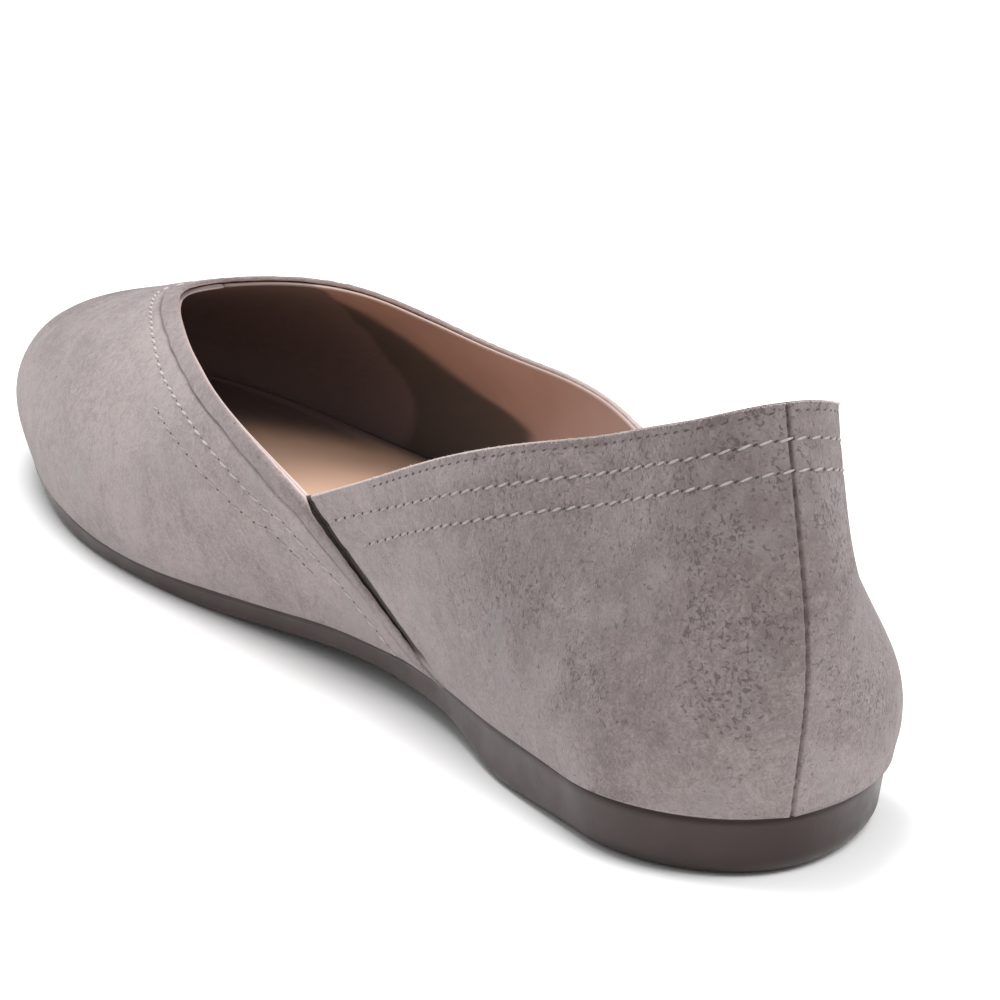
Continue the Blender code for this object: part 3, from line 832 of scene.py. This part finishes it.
SEAM_COLUMNS = (0, 0.1, 0.2, 0.32, 0.46, 0.65, 0.9, 1.3, 1.8, 2.5, 3.4)
GAP_COLUMNS = (4.0, 3.0, 2.3, 1.8, 1.4, 1.1, 0.85, 0.6, 0.4, 0.2, 0)
TONGUE_COLUMNS = (0.3, 0.8, 1.8, 3.5, 6.0, 8.0)
BETWEEN_COLUMNS = 78
QUARTER_FAR_ROWS = 62
SEAM_RIDGE = 0.30 * MM
SEAM_SLOT = 0.75 * MM
PINHOLE_DIP = 0.12 * MM
PINHOLE_DISTANCE = 1.3 * MM
TONGUE_SINK = 0.45 * MM  # how far the quarter's tongue lies below the vamp
GAP_DEPTH = 0.60 * MM
QUARTER_ROWS = (0.85, 1.1, 1.3, 1.5, 1.8, 2.3, 2.9, 3.5) + evenly(4.0, 10.9, 15)


def quarter_places(side, line):
    """Shares of the length of a line at which the quarter's columns meet it."""
    total = run(form(side, *line))[-1]
    first = np.array(SEAM_COLUMNS) * MM / total
    last = 1 - np.array(GAP_COLUMNS) * MM / total
    between = np.linspace(first[-1], last[0], BETWEEN_COLUMNS + 2)[1:-1]
    return np.concatenate([first, between, last])


def quarter_lines(side):
    """Topline of the quarter and its foot, from the back seam to the lap and on under the vamp."""
    top = back_line(side, FINE)
    foot = (LAP_FOOT / LENGTH * FINE, 0 * FINE)
    top = even(side, *top, quarter_places(side, top))
    foot = even(side, *foot, quarter_places(side, foot))
    beyond = np.array(TONGUE_COLUMNS) * MM / LENGTH
    edge = [np.append(top[0], top[0][-1] + beyond), np.append(top[1], top[1][-1] - 0.4 * beyond)]
    far = [np.append(foot[0], foot[0][-1] + beyond), np.append(foot[1], 0 * beyond)]
    return edge, far


# The quarter's rows: how far forward, and the distance from the topline, in millimetres
QUARTER_ROW_1 = ((-25, 5.3), (0, 5.4), (29, 5.8), (42, 5.7), (54, 5.3), (66, 4.8), (80, 4.7))
QUARTER_ROW_2 = ((-25, 9.9), (-12, 9.6), (0, 9.8), (20, 10.2), (34, 10.3), (54, 9.6), (80, 9.7))


def quarter_relief(side, points, shares, distance):
    """Fine shape of the quarter: back seam, dip of the edge stitching, gap beside the vamp, softness."""
    seam = form(side, np.zeros(200), np.linspace(0, 1, 200))
    from_seam = distance_to(points, seam)
    ridge_line = SEAM_RIDGE * bell(from_seam, 1.8 * MM)
    slot_line = SEAM_SLOT * bell(from_seam, 0.28 * MM)
    dip = -PINHOLE_DIP * bell(distance - PINHOLE_DISTANCE, 0.35 * MM)
    for row in (QUARTER_ROW_1, QUARTER_ROW_2):
        dip = dip + sewn_dip(distance, by_table(row)(points))
    fuzz = 0.05 * MM * softness(points, 0.0022, 13) * smooth(1 - distance / (1.2 * MM))
    rise = np.clip(shares / notch_share(side), 0, 1)
    open_gap = smooth((rise - 0.03) / 0.12)
    low = smooth((0.75 - rise) / 0.5)
    middle_line = (0.40 + 0.35 * low + 0.16 * softness(points, 0.005, 5)) * MM
    gap = open_gap * np.exp(-((from_lap(side, points) - middle_line) / ((0.78 + 0.30 * low) * MM))**4)
    soft = 0.14 * MM * softness(points, 0.030, 7) * smooth(from_seam / (8 * MM)) * smooth(distance / (6 * MM))
    return ridge_line - slot_line + dip + fuzz + soft - GAP_DEPTH * gap, gap, from_seam


def make_quarter():
    tongue = len(TONGUE_COLUMNS)
    grids = both_grids(quarter_lines, QUARTER_ROWS, QUARTER_FAR_ROWS, bow=LAP_BOW, square=(0,))
    shared = shared_way(grids, 0)
    halves, rims, shades, pits = [], [], [], []
    for side in SIDES:
        points, normal, _, shares, depth, distance = grids[side]
        normal[0] = shared
        relief, gap, from_seam = quarter_relief(side, points, shares, distance)
        under = np.zeros(len(points))
        under[-tongue:] = np.array(TONGUE_COLUMNS) / TONGUE_COLUMNS[-1]
        relief = relief - TONGUE_SINK * smooth(under * 2.5)[:, None]
        grid = points + normal * (relief - LEATHER * depth)[..., None]
        halves.append((side, grid))
        front = smooth((-points[..., 1] - 0.002) / 0.030)
        folded = smooth((depth - 0.40 + 0.44 * front) / 0.25)
        rims.append(folded * (distance < 0.30 * MM) * (1 - smooth(3 * gap)))
        # Painted shade: dark in the gap beside the vamp and in the seam's slot, and a little darker over the
        # heel's back, on the side the light misses.
        seam_shade = 0.65 * bell(from_seam, 0.32 * MM)
        back = smooth((points[..., 1] + 0.070) / 0.060)
        shades.append(np.clip(smooth(1.5 * gap) + seam_shade + 0.13 * back, 0, 1))
        by_seam = bell(from_seam, 14 * MM) * smooth((points[..., 2] - 0.028) / 0.014)
        low = smooth((points[..., 2] - 0.012) / 0.016)
        # The pits mark darkens the heel's back too: wear with denser pits, and painted shade.
        pits.append(np.clip(0.10 + 0.70 * back * (0.45 + 0.55 * low) + 0.32 * by_seam, 0, 1))
    values = {"rim": rims, "shade": shades, "pits": pits}
    build_panel("quarter", halves, values, nubuck("nubuck_quarter", 0.6))


# The lining

LINING_COLUMNS = 80, 80, 40
LINING_ROWS = 1.2, 2.4, 4.0
LINING_FAR_ROWS = 46
TOE_LINING_EDGE = (0.18, 0.33, 0.49, 0.65, 0.80, 0.96), (0.800, 0.809, 0.819, 0.824, 0.809, 0.744)
# Where painted shadow on the lining begins: shares of the way up, and stations.
LINING_SHADOW_EDGE = (0.24, 0.36, 0.45, 0.58, 0.65, 0.80), (0.653, 0.724, 0.749, 0.774, 0.789, 0.800)


def lining_lines(side):
    """Topline and foot of the lining, from the back seam round the throat and along the ridge to the toe."""
    back, throat, toe = LINING_COLUMNS
    first = even(side, *back_line(side, FINE), steps(back))
    second = even(side, *throat_line(side, FINE), steps(throat)[1:])
    start = THROAT_REACH / LENGTH
    third = even(side, start + (1 - start) * FINE, 1 + 0 * FINE, steps(toe)[1:])
    lap = LAP_FOOT / LENGTH
    under = even(side, lap * FINE, 0 * FINE, steps(back))
    ahead = even(side, lap + (1 - lap) * FINE, 0 * FINE, steps(throat + toe)[1:])
    edge = [np.concatenate(parts) for parts in zip(first, second, third)]
    far = [np.concatenate(parts) for parts in zip(under, ahead)]
    return edge, far


def make_lining():
    back, throat, toe = LINING_COLUMNS
    free = back + throat  # the opening's edge ends at this column
    square = (0, *range(free, free + toe + 1))
    grids = both_grids(lining_lines, LINING_ROWS, LINING_FAR_ROWS, bow=LAP_BOW, square=square)
    seam = shared_way(grids, 0)
    toe_way = shared_way(grids, -1)
    halves, rims, shadow_zones, toes = [], [], [], []
    for side in SIDES:
        points, normal, stations, shares, depth, distance = grids[side]
        normal[0] = seam
        depth[free + 1:, FOLD.index(FOLD_EDGE):-1] = 0
        both = unit(normal[free:] + grids[-side][1][free:])
        normal[free:] = np.where((shares[free:] > 0.999)[..., None], both, normal[free:])
        normal[-1] = toe_way
        thickness = WALL - LEATHER
        rim = smooth(1 - distance / (1.0 * MM))
        columns = np.arange(len(points))[:, None]
        open_rim = (columns <= free) * rim
        drop = np.zeros_like(points)
        drop[..., 2] = -np.interp(columns, (0, back, back + throat / 2, free), LINING_DROP[side]) * open_rim
        skin = points + normal * (-LEATHER - thickness * (1 - depth))[..., None] + drop
        halves.append((-side, skin))
        near_throat = smooth((columns - free + 14) / 14)
        narrow = smooth((0.62 - depth) / 0.2)
        narrow = narrow * (1 - 0.4 * near_throat) if side > 0 else 0.3 + (0.6 * narrow - 0.3) * near_throat
        rims.append((distance < 0.5 * MM) * (columns <= free) * (depth > 0.02) * narrow)
        ragged = 0.004 * softness(points, 0.012, 8)
        toes.append(smooth((stations - np.interp(shares, *TOE_LINING_EDGE) - ragged) / 0.006 + 0.5))
        # Painted shadow over the lining's middle, with a soft slanting edge.
        shadow_zones.append(smooth((stations - np.interp(shares, *LINING_SHADOW_EDGE)) / 0.030 + 0.5))
    values = {"rim": rims, "painted_shadow_zone": shadow_zones, "toe_zone": toes}
    zones = ("painted_shadow_zone", LINING_SHADOW), ("toe_zone", LINING_BROWN), ("rim", RIM_COLOUR)
    material = smooth_leather("lining", 0.55, 45, LINING_TANS, zones, 1500)
    build_panel("lining", halves, values, material)


make_vamp()
make_quarter()
make_lining()


# Sole and sock

SLAB_COLUMNS = 150
SLAB_STATIONS = (1 - np.cos(np.linspace(0, np.pi, SLAB_COLUMNS + 1))) / 2
CAP_STRIPS = 14
SOLE_INSET = 0.4 * MM
HEEL_ROUND = 3.6 * MM
EDGE_ROUND = 1.6 * MM
SOLE_DROP = 0.3 * MM
SOCK_INSET = 2.4 * MM
SOCK_THICKNESS = 2 * MM
# Rounded upper edge of the sock: how far further in, and how far below its top
SOCK_EDGE = ((0.7 * MM, 0), (0.35 * MM, 0.08 * MM), (0.1 * MM, 0.35 * MM), (0, 0.8 * MM))


def foot_outline(inset):
    """The feather line moved inwards, as medial and lateral rows of points from heel to toe."""
    sides = []
    for side in SIDES:
        x, s = feather(side, SLAB_STATIONS)
        sides.append(np.stack([x, HEEL_MIDDLE - s], -1))
    loop = np.concatenate([sides[0], sides[1][SLAB_COLUMNS - 1:0:-1]])
    along = unit(np.roll(loop, -1, 0) - np.roll(loop, 1, 0))
    inward_way = np.stack([along[:, 1], -along[:, 0]], -1)
    if inset.ndim:
        inset = np.concatenate([inset, inset[SLAB_COLUMNS - 1:0:-1]])[:, None]
    loop = loop + inward_way * inset
    return loop[:SLAB_COLUMNS + 1], np.concatenate([loop[:1], loop[:SLAB_COLUMNS - 1:-1]])


def slab_rows(inset, level, lift):
    """Medial and lateral rows of points at an inset, lifted above a level curve."""
    rows = []
    for row in foot_outline(np.asarray(inset)):
        height = level(np.clip((HEEL_MIDDLE - row[:, 1]) / LENGTH, 0, 1)) + lift
        rows.append(np.concatenate([row, height[:, None]], axis=1))
    return rows


def make_slab(name, rings, material, node, toe_zone=None):
    """A slab from rings, top to bottom. Both its faces are capped by strips across the foot."""
    loops = [np.concatenate([medial, lateral[-2:0:-1]]) for medial, lateral in rings]
    count = len(loops[0])
    points = list(loops)
    faces = []
    for level in range(len(loops) - 1):
        here = level * count + np.arange(count)
        ahead = level * count + (np.arange(count) + 1) % count
        faces.append(np.stack([here, ahead, ahead + count, here + count], -1))
    first = len(loops) * count
    for turned, (medial, lateral) in ((False, rings[0]), (True, rings[-1])):
        share = steps(CAP_STRIPS)[None, :, None]
        grid = medial[:, None] + (lateral - medial)[:, None] * share
        faces.append(grid_faces(len(grid), CAP_STRIPS + 1, first, turned))
        points.append(grid.reshape(-1, 3))
        first += grid.shape[0] * grid.shape[1]
    points = np.concatenate(points)
    values = {"toe_zone": toe_zone(points)} if toe_zone else {}
    finish_mesh(name, points, np.concatenate(faces), values, material, node)


def make_sole():
    """Moulded sole with a slight belly to its side and a rounded lower edge, rounder round the heel."""
    heel = 1 - smooth((SLAB_STATIONS * LENGTH - 26 * MM) / (34 * MM))
    edge_round = EDGE_ROUND + (HEEL_ROUND - EDGE_ROUND) * heel
    side_inset = SOLE_INSET + 0.4 * MM * heel
    foot_inset = side_inset + 0.4 * MM + 0.5 * MM * heel
    high = slab_rows(side_inset, seat, -SOLE_DROP - 0.35 * MM)
    rings = [slab_rows(side_inset + 0.5 * MM, seat, -SOLE_DROP), high]
    turns = np.linspace(0, np.pi / 2, 9)
    rounded = [slab_rows(foot_inset + edge_round * (1 - np.cos(turn)), tread, edge_round * (1 - np.sin(turn)))
               for turn in turns]
    rings += [[a + (b - a) * share for a, b in zip(high, rounded[0])] for share in (0.25, 0.5, 0.75)]
    rings += rounded
    make_slab("outsole_rubber", rings, sole_rubber("rubber"), "outsole")


# How far sideways, and how far forward the sock's tan ends there and painted shadow begins
SOCK_SHADOW_EDGE = (-0.031, -0.027, -0.023, -0.015, -0.008, 0.010), (0.158, 0.168, 0.174, 0.182, 0.187, 0.192)


def sock_shadow(points):
    """Share of painted shadow on the sock, in the dark toe lining's colour; it starts on a slant under the
    vamp.
    """
    border = np.interp(points[:, 0], *SOCK_SHADOW_EDGE)
    return smooth((-points[:, 1] - border) / (12 * MM) + 0.5)


def make_sock():
    rings = [slab_rows(SOCK_INSET + further, seat, SOCK_THICKNESS - fall) for further, fall in SOCK_EDGE]
    rings.append(slab_rows(SOCK_INSET, seat, 0))
    # The sock's toe zone is painted shadow under the vamp.
    material = smooth_leather("sock_leather", 0.5, 30, SOCK_TANS, [("toe_zone", LINING_BROWN)], 1800)
    make_slab("sock", rings, material, "insole", sock_shadow)


make_sole()
make_sock()


# Stitches and holes, laid along lines by one Geometry Nodes tree

STITCH_SOCKETS = {"Pitch": "Float", "Length": "Float", "Width": "Float", "Height": "Float", "Slant": "Float",
                  "Tangle": "Float", "Seed": "Int", "Finish": "Material"}


def stitch_tree():
    """Small oval shapes laid along a line at an even pitch, each turned to the leather's own slope."""
    tree = bpy.data.node_groups.new("stitches_along_a_line", "GeometryNodeTree")
    face = tree.interface
    face.new_socket("Line", in_out="INPUT", socket_type="NodeSocketGeometry")
    inputs = {name: face.new_socket(name, in_out="INPUT", socket_type=f"NodeSocket{kind}").identifier
              for name, kind in STITCH_SOCKETS.items()}
    face.new_socket("Stitches", in_out="OUTPUT", socket_type="NodeSocketGeometry")
    given = tree.nodes.new("NodeGroupInput").outputs

    def add(kind, output, inputs=(), **settings):
        """The named or numbered output of a new node."""
        return add_node(tree, kind, inputs, **settings).outputs[output]

    path = add("GeometryNodeMeshToCurve", "Curve", {"Mesh": given["Line"]})
    places = add("GeometryNodeResampleCurve", "Curve", {"Curve": path, "Length": given["Pitch"]},
                 mode="LENGTH")
    tangent = add("GeometryNodeInputTangent", "Tangent")
    way_up = add("GeometryNodeInputNamedAttribute", "Attribute", {"Name": "up"}, data_type="FLOAT_VECTOR")
    along = add("FunctionNodeAlignRotationToVector", "Rotation", {"Vector": tangent}, axis="X")
    upright = add("FunctionNodeAlignRotationToVector", "Rotation", {"Rotation": along, "Vector": way_up},
                  axis="Z", pivot_axis="X")
    slant = add("ShaderNodeCombineXYZ", "Vector", {"Z": given["Slant"]})
    stray = add("FunctionNodeRandomValue", 0, {0: (-1, -1, -1), 1: (1, 1, 1), "Seed": given["Seed"]},
                data_type="FLOAT_VECTOR")
    turned = add("ShaderNodeVectorMath", "Vector", {0: stray, 1: given["Tangle"], 2: slant},
                 operation="MULTIPLY_ADD")
    slanted = add("FunctionNodeRotateRotation", "Rotation", {"Rotation": upright, "Rotate By": turned},
                  rotation_space="LOCAL")
    bead = add("GeometryNodeMeshUVSphere", "Mesh", {"Segments": 8, "Rings": 6, "Radius": 0.5})
    size = add("ShaderNodeCombineXYZ", "Vector",
               {"X": given["Length"], "Y": given["Width"], "Z": given["Height"]})
    change = add("FunctionNodeRandomValue", 1, {2: 0.9, 3: 1.08, "Seed": given["Seed"]}, data_type="FLOAT")
    scale = add("ShaderNodeVectorMath", "Vector", {0: size, "Scale": change}, operation="SCALE")
    laid = add("GeometryNodeInstanceOnPoints", "Instances",
               {"Points": places, "Instance": bead, "Rotation": slanted, "Scale": scale})
    real = add("GeometryNodeRealizeInstances", "Geometry", {"Geometry": laid})
    soft = add("GeometryNodeSetShadeSmooth", "Geometry", {"Geometry": real})
    painted = add("GeometryNodeSetMaterial", "Geometry", {"Geometry": soft, "Material": given["Finish"]})
    add_node(tree, "NodeGroupOutput", {"Stitches": painted})
    return tree, inputs


STITCHES, STITCH_INPUTS = stitch_tree()


def lay_stitches(name, lines, pitch, size, material, slant, tangle=0.0):
    """One piece of oval shapes along lines, each with its points and the leather's outward ways there."""
    points = np.concatenate([line for line, _ in lines])
    ups = np.concatenate([up for _, up in lines])
    edges = []
    first = 0
    for line, _ in lines:
        edges += [(first + i, first + i + 1) for i in range(len(line) - 1)]
        first += len(line)
    mesh = bpy.data.meshes.new(name)
    mesh.from_pydata(points.tolist(), edges, [])
    ways = mesh.attributes.new("up", "FLOAT_VECTOR", "POINT").data
    ways.foreach_set("vector", ups.astype(np.float32).ravel())
    guide = new_object(name, mesh)
    modifier = guide.modifiers.new("stitches", "NODES")
    modifier.node_group = STITCHES
    sizes = [part * MM for part in size]
    turns = math.radians(slant), math.radians(tangle)
    for key, value in zip(STITCH_SOCKETS, (pitch * PITCH_SLACK, *sizes, *turns, STITCH_SEED, material)):
        modifier[STITCH_INPUTS[key]] = value
    sewn = bpy.data.meshes.new_from_object(guide.evaluated_get(bpy.context.evaluated_depsgraph_get()))
    guide.modifiers.remove(modifier)
    guide.data = sewn
    keep(guide, "upper")


def lay_line(side, edge, far, wanted_distance, relief, bow=1.0):
    """A sewing line on a panel, with its outward ways, at the distances from the edge that wanted_distance
    gives for points on the shoe. It lies on the leather's relief and stops short of the panel's foot."""
    stations, shares, length, stretch = panel_rows(side, edge, far, bow, [])
    distance = np.full(len(stations), 6 * MM)
    for _ in range(4):
        line = sample(stations, shares, length, (distance * stretch)[:, None])
        distance = wanted_distance(form(side, *line)[:, 0])
    inside = (distance * stretch < length[:, -1] - FOOT_CLEAR) & (distance > 0)
    stations, shares = (part[inside] for part in line)
    points = form(side, stations, shares)
    ups = outward(side, stations, shares)
    points = points + ups * relief(side, points, shares, distance[inside][:, None])[..., None]
    return points[:, 0], ups[:, 0]


def spaced(points, ups, pitch):
    """A line evenly drawn, the same line less half a pitch at both ends, and an even pitch near the given."""
    length = run(points)
    pitch = length[-1] / round(length[-1] / pitch)

    def part(start, end):
        places = np.linspace(start, end, 700)
        line, ways = (np.stack([np.interp(places, length, column) for column in rows.T], -1)
                      for rows in (points, ups))
        return line, unit(ways)

    return part(0, length[-1]), part(pitch / 2, length[-1] - pitch / 2), pitch


def sew(name, lines, thread_size, hole_size, thread_finish, hole_finish):
    """A row of stitches on each line, with needle holes at their ends, and sizes in millimetres."""
    threads = []
    holes = []
    for points, ups in lines:
        thread, hole, even_pitch = spaced(points, ups, STITCH_PITCH)
        threads.append(thread)
        holes.append(hole)
    lay_stitches(f"{name}_thread", threads, even_pitch, thread_size, thread_finish, THREAD_SLANT)
    lay_stitches(f"{name}_holes", holes, even_pitch, hole_size, hole_finish, HOLE_SLANT)


PALE_THREAD = thread_fibre("pale_thread", (0.52, 0.48, 0.46))
GREY_THREAD = thread_fibre("grey_thread", (0.40, 0.365, 0.35))
PINHOLE = thread_fibre("pinhole_shade", (0.095, 0.072, 0.068))
EDGE_FIBRE = thread_fibre("edge_fibre", (0.58, 0.50, 0.47))
NEEDLE_HOLE = thread_fibre("needle_hole_shade", (0.065, 0.050, 0.045))


def vamp_line(wanted):
    """Lines at wanted distances from the vamp's edge, one on each side."""
    def relief(side, points, shares, distance):
        return lap_lift(side, points, shares) + vamp_relief(points, distance)

    return [lay_line(side, *vamp_lines(side), by_table(wanted), relief) for side in SIDES]


def sew_vamp():
    medial, lateral = vamp_line(VAMP_ROW_1)
    both = [np.concatenate([one, two[::-1]]) for one, two in zip(medial, lateral)]
    second = []
    for points, ups in vamp_line(VAMP_ROW_2):
        kept = (points[:, 1] < -VAMP_ROW_2_BACK) & (points[:, 1] > -VAMP_ROW_2_FRONT)
        second.append((points[kept], ups[kept]))
    sew("vamp_row_1", [both], (2.2, 0.50, 0.52), (0.62, 0.36, 0.10), PALE_THREAD, PINHOLE)
    sew("vamp_row_2", second, (2.0, 0.36, 0.40), (0.80, 0.40, 0.12), GREY_THREAD, PINHOLE)


def quarter_line(wanted, front):
    """A line at wanted distances from the quarter's topline. It leads round the back seam, and ends at the
    lap or this far forward on both sides."""
    def relief(*place):
        return quarter_relief(*place)[0]

    rows = []
    for side in SIDES:
        lines = [[part[:-len(TONGUE_COLUMNS)] for part in line] for line in quarter_lines(side)]
        line = lay_line(side, *lines, by_table(wanted), relief, LAP_BOW)
        clear = (from_lap(side, line[0]) > LAP_CLEAR) & (line[0][:, 1] > -front)
        rows.append([part[clear] for part in line])
    medial, lateral = rows
    return [np.concatenate([one[::-1], two]) for one, two in zip(medial, lateral)]


def sew_quarter():
    for number, (row, front) in enumerate(((QUARTER_ROW_1, 0.080), (QUARTER_ROW_2, 0.068)), 1):
        line = quarter_line(row, front)
        sew(f"quarter_row_{number}", [line], (2.2, 0.42, 0.44), (0.85, 0.42, 0.13), GREY_THREAD, NEEDLE_HOLE)
    pinholes = quarter_line(((-25, 1.4), (80, 1.3)), 0.064)
    _, holes, pitch = spaced(*pinholes, HOLE_PITCH)
    lay_stitches("quarter_pinholes", [holes], pitch, (1.05, 0.36, 0.14), PINHOLE, PINHOLE_SLANT)
    fuzz = quarter_line(((-25, 0.2), (80, 0.2)), 0.080)
    sizes = (0.80, 0.09, 0.09)
    lay_stitches("quarter_edge_fuzz", [fuzz], FUZZ_PITCH, sizes, EDGE_FIBRE, 0, FUZZ_TANGLE)


sew_vamp()
sew_quarter()


# Floor, light and camera

def make_floor():
    """Pale studio floor, a flat square."""
    mesh = bpy.data.meshes.new("studio_floor")
    reach = 3.0
    corners = [(-reach, -reach, 0), (reach, -reach, 0), (reach, reach, 0), (-reach, reach, 0)]
    mesh.from_pydata(corners, [], [(0, 1, 2, 3)])
    shader = Shader("studio_white", Roughness=0.9, Specular_IOR_Level=0.1)
    shade = shader.ramp(shader.noise(1.5, 1), 0.3, 0.7)
    mesh.materials.append(shader.finish(shader.mix(shade, (0.95, 0.95, 0.95), (0.96, 0.96, 0.96))))
    floor = new_object("studio_floor", mesh)


def make_light(name, place, aim, size, power):
    """Soft square light at a place, turned to what it lights."""
    light = bpy.data.lights.new(name, "AREA")
    light.size = size
    light.energy = power
    lamp = new_object(name, light)
    lamp.location = place
    lamp.rotation_euler = (Vector(aim) - Vector(place)).to_track_quat("-Z", "Y").to_euler()


def make_world(strength):
    world = bpy.data.worlds.new("studio")
    world.use_nodes = True
    background = world.node_tree.nodes["Background"]
    background.inputs["Color"].default_value = (1, 1, 1, 1)
    background.inputs["Strength"].default_value = strength
    bpy.context.scene.world = world


def make_camera():
    """Long lens from behind and above, on the shoe's inner side."""
    heading, height, roll = map(math.radians, (25.965, 17.399, 1.108))
    distance = 967.964 * MM
    target = Vector((-4.294, -80.444, 25.831)) * MM
    level = math.cos(height)
    back = Vector((math.sin(heading) * level, math.cos(heading) * level, math.sin(height)))
    right = (-back).cross(Vector((0, 0, 1))).normalized()
    up = right.cross(-back)
    turned_right = math.cos(roll) * right + math.sin(roll) * up
    turned_up = math.cos(roll) * up - math.sin(roll) * right
    data = bpy.data.cameras.new("camera")
    data.sensor_width = 36
    data.lens = 222.75
    data.clip_start = 0.01
    camera = new_object("camera", data)
    axes = Matrix((turned_right, turned_up, back)).transposed().to_4x4()
    camera.matrix_world = Matrix.Translation(target + distance * back) @ axes
    bpy.context.scene.camera = camera


make_floor()
make_world(0.55)
make_light("light_above", (0.20, -0.45, 1.45), (0, -0.08, 0.02), 0.8, 20)
make_light("light_behind", (-0.30, 0.70, 1.25), (0, -0.08, 0.02), 0.7, 11)
make_light("light_right", (-1.1, 0.3, 0.6), (0, -0.08, 0.03), 0.7, 4)
make_camera()
bpy.context.scene.view_settings.view_transform = "Standard"
